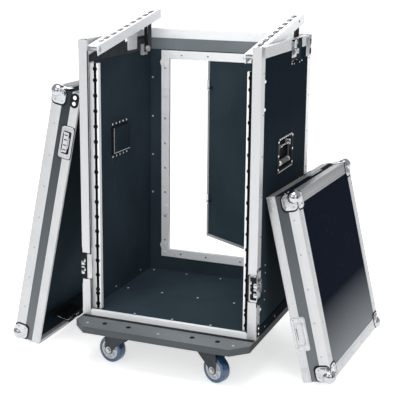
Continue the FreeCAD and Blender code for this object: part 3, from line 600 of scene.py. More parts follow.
def sheet(bm, size, radius, z0, z1, mat=0, place=CASE, centre=(0, 0), edge=0.5):
    """Plate with rounded corners and broken edges."""
    wide, tall = size
    steps = ((z0, edge), (z0 + edge, 0), (z1 - edge, 0), (z1, edge))
    skin(bm, [round_rect(z, wide - 2 * e, tall - 2 * e, radius, centre) for z, e in steps], mat, place)


def facing(point, out):
    """Frame at a point with its z axis along a direction."""
    return Matrix.Translation(Vector(point)) @ Vector(out).to_track_quat("Z", "Y").to_matrix().to_4x4()


def rivet(bm, point, out, radius, high, mat=0, place=CASE):
    """Domed head, with a small dimple, standing on a surface."""
    dome = ((0, 1), (0.25, 0.98), (0.6, 0.82), (0.88, 0.55), (1.0, 0.28), (0.9, 0.12))
    profile = [(high * z, radius * r) for z, r in dome]
    turned(bm, [(-0.4, radius)] + profile, mat, place @ facing(point, out), 16)


def rivets(bm, xs, ys, z, size, mat=0, place=CASE, out=1):
    """Rivets of one (radius, height) at every x and y of a face across the local z axis."""
    for x in xs:
        for y in ys:
            rivet(bm, (x, y, z), (0, 0, out), *size, mat, place)


def hex_head(bm, point, out, radius, high, mat=0, place=CASE):
    there = place @ facing(point, out)
    turned(bm, [(-0.3, radius * 1.25), (1.0, radius * 1.25), (1.0, radius * 0.7)], mat, there, 20)
    turned(bm, [(0.5, radius), (high - 0.6, radius), (high, radius * 0.88)], mat, there, 6)


def rod(bm, start, end, radius, mat=0, place=CASE, count=16):
    run = Vector(end) - Vector(start)
    turned(bm, [(0, radius), (run.length, radius)], mat, place @ facing(start, run), count)


def bent_rod(bm, points, radius, mat=0, place=CASE, count=10):
    """Round wire along a line of points."""
    line = [Vector(p) for p in points]
    side = None
    rings = []
    for k, point in enumerate(line):
        run = (line[min(k + 1, len(line) - 1)] - line[max(k - 1, 0)]).normalized()
        if side is None:
            side = run.orthogonal().normalized()
        side = (side - run * side.dot(run)).normalized()
        over = run.cross(side)
        turns = [2 * math.pi * j / count for j in range(count)]
        rings.append([point + (side * math.cos(a) + over * math.sin(a)) * radius for a in turns])
    skin(bm, rings, mat, place)


def pour(part, whole):
    """Move the content of one bmesh into another."""
    copy = mesh_from("poured", part)
    whole.from_mesh(copy)
    bpy.data.meshes.remove(copy)


def joined(parts):
    whole = bmesh.new()
    for part in parts:
        pour(part, whole)
    return whole


def carved(bm, cutter):
    """The first mesh with the second taken out of it."""
    made = []
    for name, part in (("whole", bm), ("cutter", cutter)):
        bmesh.ops.recalc_face_normals(part, faces=part.faces)
        made.append(linked(name, mesh_from(name, part)))
    boolean = made[0].modifiers.new("cut", "BOOLEAN")
    boolean.object = made[1]
    boolean.operation = "DIFFERENCE"
    boolean.solver = "EXACT"
    view = bpy.context.evaluated_depsgraph_get()
    result = bmesh.new()
    result.from_mesh(made[0].evaluated_get(view).to_mesh())
    for temporary in made:
        mesh = temporary.data
        bpy.data.objects.remove(temporary)
        bpy.data.meshes.remove(mesh)
    return result


# ---- start of the making ----
make_camera()
make_studio()


# ---- butterfly latches ----
def case_latch_places():
    """A frame for each butterfly latch, its x along the edge that it latches over."""
    places = {}
    for side, name in SIDES:
        places["low_" + name] = local_frame((side * HALF_W, 0, LOW_LATCH_Z), (0, 0, -side), (0, 1, 0))
        places["top_" + name] = local_frame((side * HALF_W, TOP_LATCH_Y, CASE_H), (0, -side, 0), (0, 0, -1))
    return places


def latch_dish(place, deep):
    """Pressed dish with its hook and rivets; local y runs away from the edge, z outward."""
    middle = (0, deep / 2)
    shape = ((-8.8, 84, 54, 6), (-1, 88, 59, 8), (0, 110, 75, 6), (1.7, 110, 75, 6), (2.5, 108, 73, 6),
             (2.5, 95, 65, 9), (1.4, 91, 61, 9), (-6.6, 86, 56, 7), (-7.9, 82, 52, 6))
    narrow = LATCH_DEEP - deep
    rings = [round_rect(z, wide, tall - narrow, radius, middle) for z, wide, tall, radius in shape]
    bm = bmesh.new()
    skin(bm, rings)
    mouth = bmesh.new()
    slab(mouth, (-16, -3, -6.2), (16, 13, 5))
    bm = carved(bm, mouth)
    y = deep / 2
    hook_line = [(y + 11, -5.6), (4, -5.6), (1.2, -4.2), (0.9, 0.6), (1.6, 1.8), (2.9, 1.6), (3.8, 0.4),
                 (4.2, -2.6), (y + 11, -3.2)]
    extruded(bm, [(-13.5, b, c) for b, c in hook_line], (27, 0, 0))
    for x in (-9, 9):
        slab(bm, (x - 1.5, 7, -3.4), (x + 1.5, y - 12, -2.2))
    there = moved(0, y, 0)
    turned(bm, [(-8, 17), (-6.9, 17), (-6.3, 15), (-6.3, 5)], place=there)
    turned(bm, [(-8, 4.2), (-3, 4.2)], place=there)
    rivets(bm, (-50.5, 50.5), (7, deep - 7), 2.3, (3.3, 1.5))
    rivets(bm, (-27, 27), (deep - 4.6,), 2.3, (2.6, 1.2))
    bm.transform(place)
    return bm


def latch_wing(deep):
    """Bow-tie turned by hand, with a finger hole in each lobe."""
    outline = []
    for side in (1, -1):
        for k in range(-4, 5):
            a = math.radians(k * 32)
            outline.append((side * (13.5 + 8.2 * math.cos(a)), side * 8.2 * math.sin(a)))
        outline.append((side * 4, side * 5.6))
    outline = [(x, y + deep / 2, -1.5) for x, y in outline]
    bm = bmesh.new()
    extruded(bm, outline, (0, 0, 3))
    holes = bmesh.new()
    for x in (-14, 14):
        rod(holes, (x, deep / 2, -4), (x, deep / 2, 4), 3.6)
    bm = carved(bm, holes)
    there = moved(0, deep / 2, 0)
    turned(bm, [(-2.9, 8.6), (-1.2, 8.8), (1.5, 8.2), (2.3, 7), (2.3, 4.2), (1.2, 3.6)], place=there)
    turned(bm, [(0.5, 3), (2.6, 2.8), (3.2, 1.8), (3.3, 0.5)], place=there)
    return bm


def make_case_latches():
    places = case_latch_places()
    dishes = [latch_dish(place, LATCH_DEEP) for place in places.values()]
    piece("case_latches", joined(dishes), "chrome", "case", nodes=["case_latch_dishes"], edge=0.3)
    for name, place in places.items():
        piece("wing_" + name, latch_wing(LATCH_DEEP), "chrome", "latch_" + name, place,
              ["latch_wing_" + name], 0.4)
    make_latch_lips()
    backs = bmesh.new()
    for side in (-1, 1):
        there = beside(side, HALF_W - PLY, TOP_LATCH_Y, CASE_H - 34)
        sheet(backs, (62, 46), 3, -4.8, 0.2, place=there, edge=0.8)
        rivets(backs, (-24, 24), (0,), -4.6, (3.2, 1.2), 0, there, -1)
    piece("latch_backs", backs, "aluminium_pale_y", "case")


def make_latch_lips():
    """Front leg of each low latch: a frame on the post round a black sheet, painted shade for its recess; the left
    has a plate beside it.
    """
    bm = bmesh.new()
    for side, frame_mat, wide in ((-1, 1, 17), (1, 0, 24)):
        place = local_frame((side * HALF_W, 0, LOW_LATCH_Z), (1, 0, 0), (0, 0, 1))
        middle = -side * (wide / 2 - 2.5)
        # A black sheet a little larger than the frame shows as a dark outline: painted shade.
        sheet(bm, (wide + 3, 81), 4.5, 0, 0.6, 1, place, (middle - side * 1.5, 0), 0.1)
        sheet(bm, (wide, 78), 4, 0, 1.2, frame_mat, place, (middle, 0), 0.4)
        sheet(bm, (wide - 5, 66), 3, 1.2, 1.5, 1, place, (middle + side * 1.5, 0), 0.1)
        for z, long in ((-19, 12), (-3, 6), (9, 13)):
            sheet(bm, (4, long - 3), 1.5, 1.5, 2.6, 0, place, (middle - side * (wide / 2 - 6), z + 8), 0.4)
            sheet(bm, (10, long), 1.5, 1.5, 3.2, 0, place, (-side * 2.4, z), 0.5)
        if side > 0:
            continue
        sheet(bm, (15, 74), 1.5, 0, 1.0, 2, place, (-side * 23, 0), 0.3)
        # Slanted black strips above and below the plate: painted shadow gaps.
        for z, turn in ((38.2, 14), (-38.2, -14)):
            there = place @ moved(-side * 20, z, 0) @ spun(-side * turn)
            sheet(bm, (22, 1.8), 0.8, 0, 0.7, 1, there, edge=0.1)
    piece("latch_lips", bm, "chrome paint_black aluminium_z", "case")


# ---- handles ----
def make_handles():
    dishes = bmesh.new()
    springs = bmesh.new()
    shape = ((-16.6, 108, 78, 5), (-15, 113, 83, 7), (-0.6, 114, 84, 8), (0, 150, 98, 10),
             (0.8, 152, 100, 10), (1.9, 150, 98, 10), (1.9, 121, 90, 10), (0.8, 116, 85, 9),
             (-13.6, 110, 80, 7), (-15.2, 104, 74, 6))
    for side in (-1, 1):
        place = beside(side, HALF_W, HANDLE_Y, HANDLE_Z)
        skin(dishes, [round_rect(z, wide, tall, r) for z, wide, tall, r in shape], 0, place)
        rivets(dishes, (-67, 67), (-40, 0, 40), 1.7, (3.6, 1.6), 1, place)
        rivets(dishes, (-48, -24, 0, 24, 48), (-50, 50), -PLY, (3.2, 1.4), 1, place, -1)
        # The dish's back inside the case is covered in the lighter laminate, painted light, and the bright strips
        # along two of its edges are painted highlights.
        sheet(dishes, (106, 76), 3, -16.9, -16.3, 2, place, edge=0.2)
        slab(dishes, (-54, -39.2, -17.0), (54, -37.4, -16.4), 1, place)
        rear = -side * 54
        slab(dishes, (rear, -39, -17.0), (rear + side * 1.6, 39, -16.4), 1, place)
        rivets(dishes, (-56, -38, -19, 0, 19, 38, 56), (46.0,), 1.6, (3.1, 1.6), 1, place)
        slab(dishes, (-68, -48.8, 1.8), (68, -47.4, 2.3), 1, place)
        for x in (-52.5, 52.5):
            slab(dishes, (x - 2, 14, -15), (x + 2, 30, -1), 1, place)
        rod(springs, (-55, 22, -5), (55, 22, -5), 2.4, 1, place)
        for way in (-1, 1):
            turns = [k / 10 for k in range(86)]
            coil = [(way * (20 + 22 * t / 8.5), 22 + 3.9 * math.cos(2 * math.pi * t),
                     -5 + 3.9 * math.sin(2 * math.pi * t)) for t in turns]
            bent_rod(springs, coil, 0.8, 1, place, 6)
    piece("handle_pressings", dishes, "paint_black aluminium_pale_y laminate_inner", "case",
          nodes=["handle_dishes"])
    piece("handle_coils", springs, "paint_black chrome", "case", nodes=["handle_springs"])
    for side, name in SIDES:
        make_grip(side, name)


def make_grip(side, name):
    """Bail with two eyes on the pin and a ribbed sleeve between two bright ends."""
    bm = bmesh.new()
    low, high = 22 - 48, 22
    bend = ((46, high - 3), (46, low + 8), (45, low + 3.4), (43, low + 0.8), (40, low))
    bail = [(-x, y, -5) for x, y in bend] + [(x, y, -5) for x, y in bend[::-1]]
    bent_rod(bm, bail, 3, 2)
    for x in (-46, 46):
        hoop(bm, [(-2.4, 5.0), (-2.0, 5.4), (2.0, 5.4), (2.4, 5.0), (2.4, 2.7), (-2.4, 2.7)], 2,
             facing((x, high, -5), (1, 0, 0)), 20)
    profile = [(-37, 6.2)]
    ribs = 18
    for k in range(ribs):
        start = -36.5 + 73 / ribs * k
        profile += [(start, 7.1), (start + 0.7, 8.0), (start + 2.6, 8.0), (start + 3.3, 7.1)]
    profile.append((37, 6.2))
    sleeve = facing((0, low, -5), (1, 0, 0))
    turned(bm, profile, 0, sleeve, 20)
    for way in (-1, 1):
        cap = ((36.6, 6.8), (37.4, 7.8), (40.4, 7.8), (41.4, 6.4), (41.4, 3.1))
        turned(bm, [(way * z, radius) for z, radius in cap], 1, sleeve, 20)
    piece("grip_" + name, bm, "rubber_grip aluminium_pale_y paint_grey", "handle_" + name,
          beside(side, HALF_W, HANDLE_Y, HANDLE_Z), ["handle_grip_" + name])


# ---- castors ----
def castor_place(name):
    """Frame under the board at a castor's swivel, its x towards the axle."""
    x, y, _ = from_row(JOINTS["castor_swivel_" + name]["pos_m"])
    wheel = from_row(JOINTS["wheel_spin_" + name]["pos_m"])
    trail = Vector((wheel.x - x, wheel.y - y, 0)).normalized()
    return local_frame((x, y, 0), trail, (-trail.y, trail.x, 0))


def castor_fork():
    """Pressed fork with raised rims on its legs, its axle bolt, and lugs for the pedal."""
    bm = bmesh.new()
    crown = ((-36.6, 46), (-35.8, 47.4), (-32, 47.4), (-31.4, 46))
    skin(bm, [round_rect(z, wide, 41, 12, (3.5, 0)) for z, wide in crown])
    bore = bmesh.new()
    rod(bore, (0, 0, -50), (0, 0, -20), 5.2)
    bm = carved(bm, bore)
    outline = [(-30, -31.6), (38, -31.6), (42, -36), (44.4, -50), (45, AXLE_Z + 3)]
    outline += [(TRAIL + 13 * math.cos(math.radians(a)), AXLE_Z + 13 * math.sin(math.radians(a)))
                for a in range(0, -181, -20)]
    outline += [(10, -76), (-14, -58), (-30, -44)]
    inner = [(TRAIL * 0.4 + (x - TRAIL * 0.4) * 0.84, -57 + (z + 57) * 0.86) for x, z in outline]
    for side in (-1, 1):
        near, far = side * 17, side * 20
        lines = ((near, outline), (far - side * 0.4, outline), (far, outline), (far, inner),
                 (far - side * 1.0, inner))
        skin(bm, [[(x, y, z) for x, z in line] for y, line in lines])
        out = (0, side, 0)
        turned(bm, [(-1, 10.5), (1.2, 10.5), (1.2, 7)], 1, facing((TRAIL, far, AXLE_Z), out), 20)
        hex_head(bm, (TRAIL, far + side * 0.6, AXLE_Z), out, 6.8, 4.2, 1)
    rod(bm, (TRAIL, -20, AXLE_Z), (TRAIL, 20, AXLE_Z), 4.9, 1)
    for side in (-1, 1):
        slab(bm, (25, side * 11.6, -36.8), (31.8, side * 13.9, -32.6))
    rod(bm, (PEDAL_PIN[0], -14.4, PEDAL_PIN[1]), (PEDAL_PIN[0], 14.4, PEDAL_PIN[1]), 1.45, 1, count=10)
    return bm


def castor_wheel():
    """Blue tyre on a white hub with a recessed web and ribs."""
    bm = bmesh.new()
    there = facing((TRAIL, 0, AXLE_Z), (0, 1, 0))
    crown = [(-14.6, 28), (-15, 30), (-15, 34.5), (-14, 37.6), (-11, 39.4), (-6, 40), (6, 40), (11, 39.4),
             (14, 37.6), (15, 34.5), (15, 30), (14.6, 28)]
    hoop(bm, crown, 0, there, 48)
    half = [(15.6, 5.1), (15.8, 9.2), (14.4, 10.4), (8.4, 11.6), (7.2, 14), (7.2, 21), (8.6, 23.6), (13, 25),
            (14.2, 26), (14.2, 28.4)]
    profile = [(-z, r) for z, r in half] + [(z, r) for z, r in half[::-1]]
    hoop(bm, profile, 1, there, 40)
    for k in range(6):
        turn = there @ spun(60 * k)
        for side in (-1, 1):
            slab(bm, (10.5, -1.4, side * 6.5), (25.5, 1.4, side * 12.6), 1, turn)
    return bm


def castor_brake():
    """Ribbed foot pedal with its hinge eye."""
    bm = bmesh.new()
    x, z = PEDAL_PIN
    line = [(x + 1.6, z - 1.6), (x + 1.6, z + 1.6), (51, -33.4), (57, -31.8), (64, -30), (65.3, -31.6),
            (57, -34.6), (52, -36)]
    extruded(bm, [(a, -11, b) for a, b in line], (0, 22, 0))
    for k in range(5):
        at = 42 + 3.6 * k
        slab(bm, (at, -9.5, -34), (at + 1.4, 9.5, -32.6 + max(0, at - 50) * 0.23))
    hoop(bm, [(-11, 2.8), (11, 2.8), (11, 1.56), (-11, 1.56)], 0, facing((x, 0, z), (0, 1, 0)), 16)
    return bm


def make_castors():
    plates = bmesh.new()
    heads = bmesh.new()
    for name in ("front_left", "front_right", "rear_left", "rear_right"):
        place = castor_place(name)
        centre = place.to_translation()
        square = Matrix.Translation(centre)
        sheet(plates, (96, 80), 8, -23, -20, place=square, edge=0.7)
        race = [(-22.8, 22), (-24, 24.5), (-26, 24.8), (-27.2, 22.6), (-27.8, 21.6), (-28.6, 23.4),
                (-30.6, 23.6), (-31.2, 21)]
        turned(plates, race, 0, square, 32)
        rod(plates, (0, 0, -43), (0, 0, -30), 4.8, 0, square)
        hex_head(plates, (0, 0, -37), (0, 0, -1), 7, 6.4, 0, square)
        for dx in (-38, 38):
            for dy in (-30, 30):
                spot = (centre.x + dx, centre.y + dy)
                rod(heads, spot + (-28.6,), spot + (0,), 3.9)
                hex_head(heads, spot + (-23,), (0, 0, -1), 6, 5, 0)
                # The heads in front, on the board, are drawn black: partly painted shade for the shadows round
                # them.
                if spot[1] < 0:
                    rivet(heads, spot + (0,), (0, 0, 1), 7.5, 2.4, 1)
        piece("fork_" + name, castor_fork(), "paint_grey zinc", "castor_" + name, place,
              ["castor_fork_" + name], 0.3)
        piece("wheel_set_" + name, castor_wheel(), "tyre_blue hub_plastic", "wheel_" + name,
              place, ["castor_wheel_" + name], angle=35)
    for name in ("front_left", "front_right"):
        piece("pedal_" + name, castor_brake(), "paint_grey", "brake_" + name, castor_place(name),
              ["castor_brake_" + name], 0.4)
    piece("castor_top_plates", plates, "zinc", "case", nodes=["castor_plates"])
    piece("castor_bolt_set", heads, "zinc paint_black", "case", nodes=["castor_bolts"])


# ---- covers ----
def front_cover_place():
    """Local x runs along the cover's width, y up its height, z from the open side outward."""
    lean = math.radians(FRONT_COVER.lean)
    up = Vector((math.sin(lean), 0, math.cos(lean)))
    tall = FRONT_COVER.tall
    foot = Vector((-HALF_W - SKIN - 0.4 - tall * up.x, FRONT_COVER.middle_y, FLOOR + FRONT_COVER.lift))
    return local_frame((foot.x + tall / 2 * up.x, foot.y, foot.z + tall / 2 * up.z), (0, -1, 0), up)


def top_cover_place():
    """As above; this cover also stands a little askew."""
    lean = math.radians(TOP_COVER.lean)
    turn = math.radians(TOP_COVER.turn)
    along = Vector((math.sin(turn), math.cos(turn), 0))
    away = Vector((math.cos(turn), -math.sin(turn), 0))
    up = away * -math.sin(lean) + Vector((0, 0, math.cos(lean)))
    foot = Vector((*TOP_COVER.foot, FLOOR + TOP_COVER.lift))
    return local_frame(foot + along * TOP_COVER.wide / 2 + up * TOP_COVER.tall / 2, along, up)


def on_side(cover, side, y, z):
    """Frame on a cover's long side, its y up the cover and its z outward."""
    return local_frame((side * cover.wide / 2, y, z), (0, 0, -side), (0, 1, 0))


def framed_bar(bm, cover, section):
    """Extrusion run round a cover with mitred corners; section gives (inset, height) pairs."""
    rings = []
    for sx, sy in ((1, 1), (-1, 1), (-1, -1), (1, -1)):
        x, y = cover.wide / 2, cover.tall / 2
        rings.append([(sx * (x - inset), sy * (y - inset), z) for inset, z in section])
    skin(bm, rings, looped=True)


def grooves(low, high, marks):
    """Points down an outer face at inset 0, from high to low, with a shallow groove at each mark."""
    points = [(0, high)]
    for z in marks:
        points += [(0, z + 1.1), (0.6, z + 0.5), (0.6, z - 0.5), (0, z - 1.1)]
    return points + [(0, low)]


def cover_extrusions(cover, end_latch):
    rim, edge, high = cover.rim, cover.edge, cover.thick
    wall = SKIN + COVER_PLY
    bm = bmesh.new()
    section = grooves(1, rim, (rim - 5, rim / 2 + 1, 6))
    section += [(0.6, 0), (3.4, 0), (4.0, 1.2), (6.2, 1.2), (6.8, 0), (wall + 1, 0), (wall + SKIN, 0.6),
                (wall + SKIN, 14), (wall, 14), (wall, SKIN), (SKIN, SKIN), (SKIN, rim)]
    framed_bar(bm, cover, section)
    low, wide = high - edge, COVER_FACE
    section = [(SKIN, low), (0, low), (0, low + 5), (0.6, low + 5.6), (0.6, low + 6.6), (0, low + 7.2)]
    section += [(0, high - 2.6), (0.8, high - 0.8), (2.6, high), (wide - 8, high), (wide - 7.4, high - 0.6),
                (wide - 6, high - 0.6), (wide - 5.4, high), (wide - 0.5, high), (wide, high - 0.5),
                (wide, high - SKIN), (SKIN, high - SKIN)]
    framed_bar(bm, cover, section)
    # Faces at the top end take the second finish, a darker copy of the aluminium: painted shade.
    for face in bm.faces:
        if face.calc_center_median().y > cover.tall / 2 - COVER_FACE - 1:
            face.material_index = 1
    if end_latch:
        room = bmesh.new()
        y = -cover.tall / 2
        slab(room, (30 - 55.5, y - 3, -1), (30 + 55.5, y + 12, END_LATCH_DEEP + 0.5))
        bm = carved(bm, room)
    return bm


def cover_corners(cover):
    """Ball corners, each with three looped ears riveted to the faces beside it."""
    bm = bmesh.new()
    wide, tall, thick = cover.wide, cover.tall, cover.thick
    for sx in (-1, 1):
        for sy in (-1, 1):
            centre = (sx * (wide / 2 - 11), sy * (tall / 2 - 11), thick - 11)
            rings = [(20 * math.sin(a), 20 * math.cos(a)) for a in
                     (math.radians(-86 + 172 / 12 * k) for k in range(13))]
            turned(bm, rings, 0, Matrix.Translation(centre), 28)
            corner = (sx * wide / 2, sy * tall / 2, thick)
            ear(bm, local_frame(corner, (sx, 0, 0), (0, sy, 0)), sx * sy)
            ear(bm, local_frame(corner, (0, 0, 1), (0, sy, 0)), -sx * sy)
            ear(bm, local_frame(corner, (sx, 0, 0), (0, 0, 1)), -sx * sy)
    return bm


def ear(bm, place, out):
    """Rounded plate on one face next to a corner, its own corner at the local origin."""
    sheet(bm, (44, 44), 13, *sorted((-0.2 * out, 1.3 * out)), 0, place, (-22.5, -22.5), 0.4)
    # A larger black sheet under the ear shows as a dark rim round it: painted shade.
    sheet(bm, (49, 49), 14, *sorted((-0.1 * out, 0.45 * out)), 1, place, (-24.6, -24.6), 0.1)
    for x, y in ((-36, -13), (-13, -36), (-35, -35)):
        rivet(bm, (x, y, 1.2 * out), (0, 0, out), 3.0, 1.5, 0, place)


def catch_plate(bm, place):
    """Plate with a raised lip for the latch hook, and its rivets."""
    window = bmesh.new()
    sheet(window, (68, 27), 4, -1, 3.2, centre=(0, 20))
    plate = bmesh.new()
    sheet(plate, (95, 40), 7, 0, 2, centre=(0, 20), edge=0.5)
    plate = carved(plate, window)
    # The larger sheet under the plate, in the second finish, shows round its edge and behind its window; where
    # that finish is black, on the front cover, it is painted shade.
    sheet(plate, (99.5, 44.5), 8, -0.1, 0.4, 1, centre=(0, 20), edge=0.1)
    sheet(plate, (60, 16), 3, 0.4, 2.4, 2, centre=(0, 22.5), edge=0.4)
    for x in (-22, -8, 8, 22):
        sheet(plate, (3, 11), 1, 2.4, 2.7, 1, centre=(x, 22.5), edge=0.1)
    lip = [(9.6, 1.6), (9.6, 4.2), (10.6, 5), (12, 4.8), (13, 3.6), (13.4, 0.4), (12.6, 0.2), (11.6, 3.2),
           (10.8, 3.4), (10.6, 1.6)]
    extruded(plate, [(-15.5, b, c) for b, c in lip], (31, 0, 0))
    for x in (-40, -29, 29, 40):
        rivet(plate, (x, 8 if abs(x) > 35 else 31, 1.9), (0, 0, 1), 2.9, 1.4, 0)
    plate.transform(place)
    pour(plate, bm)


def brace(bm, place, long, wide=15):
    """Black oval brace with two bright rivets."""
    sheet(bm, (wide, long), wide / 2 - 0.2, 0, 1.8, 0, place, edge=0.7)
    rivets(bm, (0,), (-long / 5, long / 5), 1.6, (wide * 0.2 + 0.6, 1.8), 1, place)


def make_cover_rivets(body, cover, place):
    """Rows of rivets along the outer edges, on the sides and on the outer face."""
    bm = bmesh.new()
    wide, tall, thick = cover.wide, cover.tall, cover.thick
    for length, across, swap in ((tall, wide, False), (wide, tall, True)):
        count = int((length - 120) / RIVET_SPACING) + 1
        start = -(count - 1) / 2 * RIVET_SPACING
        for k in range(count):
            at = start + RIVET_SPACING * k
            for sign in (-1, 1):
                side = (sign * across / 2, at, thick - cover.edge / 2 - 4)
                face = (sign * (across / 2 - COVER_FACE / 2 + 4), at, thick)
                out = (sign, 0, 0)
                if swap:
                    side, face, out = (side[1], side[0], side[2]), (face[1], face[0], face[2]), (0, sign, 0)
                rivet(bm, side, out, 2.7, 1.1)
                rivet(bm, face, (0, 0, 1), 2.7, 1.1)
    piece(body + "_rivets", bm, "zinc", body, place)


def make_cover_frame(body, cover, place, end_painted_shade, end_latch):
    """Extrusions and ball corners of a cover; the extrusions' top end takes a darker copy of the aluminium,
    painted shade.
    """
    bars = cover_extrusions(cover, end_latch)
    piece(body + "_frame", bars, "aluminium_z " + end_painted_shade, body, place, [body + "_profiles"])
    piece(body + "_balls", cover_corners(cover), "chrome paint_black", body, place,
          [body + "_corners"])


def make_front_cover():
    place = front_cover_place()
    body = "front_cover"
    cover = FRONT_COVER
    make_cover_frame(body, cover, place, "aluminium_painted_deep_shade_y", True)
    catches = bmesh.new()
    height = cover.tall / 2 - LOW_LATCH_Z
    for side in (-1, 1):
        catch_plate(catches, beside(side, cover.wide / 2, height, 0))
    end = local_frame((30, -cover.tall / 2 + SKIN, 0), (1, 0, 0), (0, 0, 1))
    catches = joined([catches, latch_dish(end, END_LATCH_DEEP)])
    box = bmesh.new()
    sheet(box, (96, END_LATCH_DEEP - 12), 4, -19, -8.95, 0, end, (0, END_LATCH_DEEP / 2), 0.8)
    piece("front_cover_latch_box", box, "paint_black", body, place)
    piece("front_cover_catch_set", catches, "chrome paint_black aluminium_z", body, place,
          ["front_cover_catches"], 0.2)
    piece("wing_cover", latch_wing(END_LATCH_DEEP), "chrome", "front_cover_latch", place @ end,
          ["front_cover_latch_wing"], 0.4)
    make_cover_rivets(body, cover, place)
    braces = bmesh.new()
    for side in (-1, 1):
        brace(braces, on_side(cover, side, cover.tall / 2 - 24, 15), 44, 27)
    piece("front_cover_braces", braces, "paint_black aluminium_pale_z", body, place)


def make_top_cover():
    place = top_cover_place()
    body = "top_cover"
    cover = TOP_COVER
    make_cover_frame(body, cover, place, "aluminium_painted_half_shade_y", False)
    catches = bmesh.new()
    along = TOP_LATCH_Y - cover.wide / 2
    for point, way in (((along, cover.tall / 2), (-1, 0, 0)), ((along, -cover.tall / 2), (1, 0, 0)),
                       ((-cover.wide / 2, 143 - cover.tall / 2), (0, -1, 0))):
        catch_plate(catches, local_frame((*point, 0), way, (0, 0, 1)))
    piece("top_cover_catch_set", catches, "chrome aluminium_y aluminium_z", body, place,
          ["top_cover_catches"], 0.2)
    make_cover_rivets(body, cover, place)
    plates = bmesh.new()
    for side in (-1, 1):
        for y in (cover.tall / 2 - 23, 23 - cover.tall / 2):
            there = on_side(cover, side, y, cover.rim / 2 - 1)
            sheet(plates, (20, 40), 6, 0, 1.3, 0, there, edge=0.4)
            rivets(plates, (0,), (-11, 11), 1.1, (3.0, 1.5), 0, there)
    piece("top_cover_rim_plates", plates, "aluminium_z", body, place)


# ---- case details ----
def make_case_corners():
    """Riveted plates on the case's corners, larger ones at the top rear, and bright screws in front."""
    bm = bmesh.new()
    outer, back = HALF_W + SKIN, CASE_D + SKIN
    for side in (-1, 1):
        for z in (14, CASE_H - 14):
            behind = local_frame((side * (outer - 13), back, z), (-1, 0, 0), (0, 0, 1))
            for place, wide in ((beside(side, outer, 12, z), 22), (beside(side, outer, back - 13, z), 26),
                                (behind, 26)):
                sheet(bm, (wide, 28), 5, 0, 1.4, 0, place)
                rivets(bm, (0,), (-8, 8), 1.2, PLATE_RIVET, 0, place)
        top = beside(side, outer, back - 30, CASE_H - 34)
        sheet(bm, (52, 56), 4, 0, 1.0, 0, top, edge=0.4)
        # Two black sheets on this plate stand for its recesses: painted shade.
        for y in (-15, 13):
            sheet(bm, (15, 17), 3, 1.0, 1.9, 1, top, (side * 19, y), 0.3)
        rivet(bm, (side * -15, -18, 0.9), (0, 0, 1), 5, 2, 0, top)
        for z in (CASE_H - 92, CASE_H - 168, 80):
            rivet(bm, (side * HALF_W, 37, z), (side, 0, 0), 5, 2.2, 2)
    piece("case_corner_plates", bm, "zinc paint_black aluminium_pale_z", "case",
          nodes=["case_corners"])


def make_case_braces():
    """Black braces low on the front posts' outer sides."""
    bm = bmesh.new()
    for side in (-1, 1):
        brace(bm, beside(side, HALF_W + SKIN + 1.4, 13, 25), 40)
    piece("case_braces", bm, "paint_black aluminium_pale_z", "case")


def make_opening_trim():
    """Corner brackets of the frame around the rear opening, and keepers for the door's latches."""
    bm = bmesh.new()
    half, low, high = OPENING
    inside = CASE_D - PLY - SKIN
    reach = FRAME_FACE
    for sx in (-1, 1):
        for z, sz in ((low, -1), (high, 1)):
            place = local_frame((sx * half, inside, z), (sx, 0, 0), (0, 0, sz))
            out = sx * sz
            far = reach - 1.5
            outline = [(far, far - 4), (far - 4, far), (-26, far), (-26, 2), (2, 2), (2, -26), (far, -26),
                       (far + 6, -12), (far, 2)]
            extruded(bm, [(x, y, 0) for x, y in outline], (0, 0, out * 1.3), 0, place)
            for x, y in ((reach / 2, reach / 2), (reach / 2, -18), (-18, reach / 2)):
                rivet(bm, (x, y, out * 1.1), (0, 0, out), 3.4, 1.6, 0, place)
    for z in DOOR_LATCH_Z:
        place = local_frame((-half - 11, inside, z + 10), (1, 0, 0), (0, 0, 1))
        sheet(bm, (19, 34), 3, 0, 2.2, 0, place)
        rivets(bm, (0,), (-11, 11), 2.0, PLATE_RIVET, 0, place)
    piece("opening_trim", bm, "aluminium_pale_x", "case", edge=0.3)


def make_post_grooves():
    """Black strip painted as the shade in the step along each front post, between its face and its inner lip."""
    bm = bmesh.new()
    for side in (-1, 1):
        slab(bm, (side * (HALF_W - 24.3), -0.25, 19), (side * (HALF_W - 27.3), 0.3, CASE_H - 30))
    piece("post_painted_shade", bm, "nut_black", "case")


def make_headers():
    """Inner legs of the top profiles, behind the rear one and along both sides."""
    bm = bmesh.new()
    low, high = OPENING[2] + FRAME_FACE + 3, CASE_H - 30
    rear = CASE_D - PLY
    slab(bm, (-HALF_W + PLY, rear - 1.0, low), (HALF_W - PLY, rear, high))
    for side in (-1, 1):
        slab(bm, (side * (HALF_W - PLY), 40, low), (side * (HALF_W - PLY - 0.8), rear, high), 1)
    piece("header_strips", bm, "header_coat paint_grey", "case", edge=0.2)


def make_screws():
    """Screw heads on the base panel, low on the sides, on the rear panel and on the board."""
    bm = bmesh.new()
    rivets(bm, (-238, -120, 0, 120, 238), (40, 240, 440), PLY, (3.6, 1.4))
    for side in (-1, 1):
        for y in (60, 200, 380):
            rivet(bm, (side * (HALF_W - PLY), y, 24), (-side, 0, 0), 3.4, 1.3)
        for z in (273, 400, 527, 654):
            rivet(bm, (side * 251, CASE_D - PLY, z), (0, -1, 0), 3.4, 1.4)
    for x, y in ((-225, -58), (225, -58), (0, -60)):
        rivet(bm, (x, y, 0), (0, 0, 1), 4.2, 1.4)
    piece("screw_heads", bm, "aluminium_z", "case")


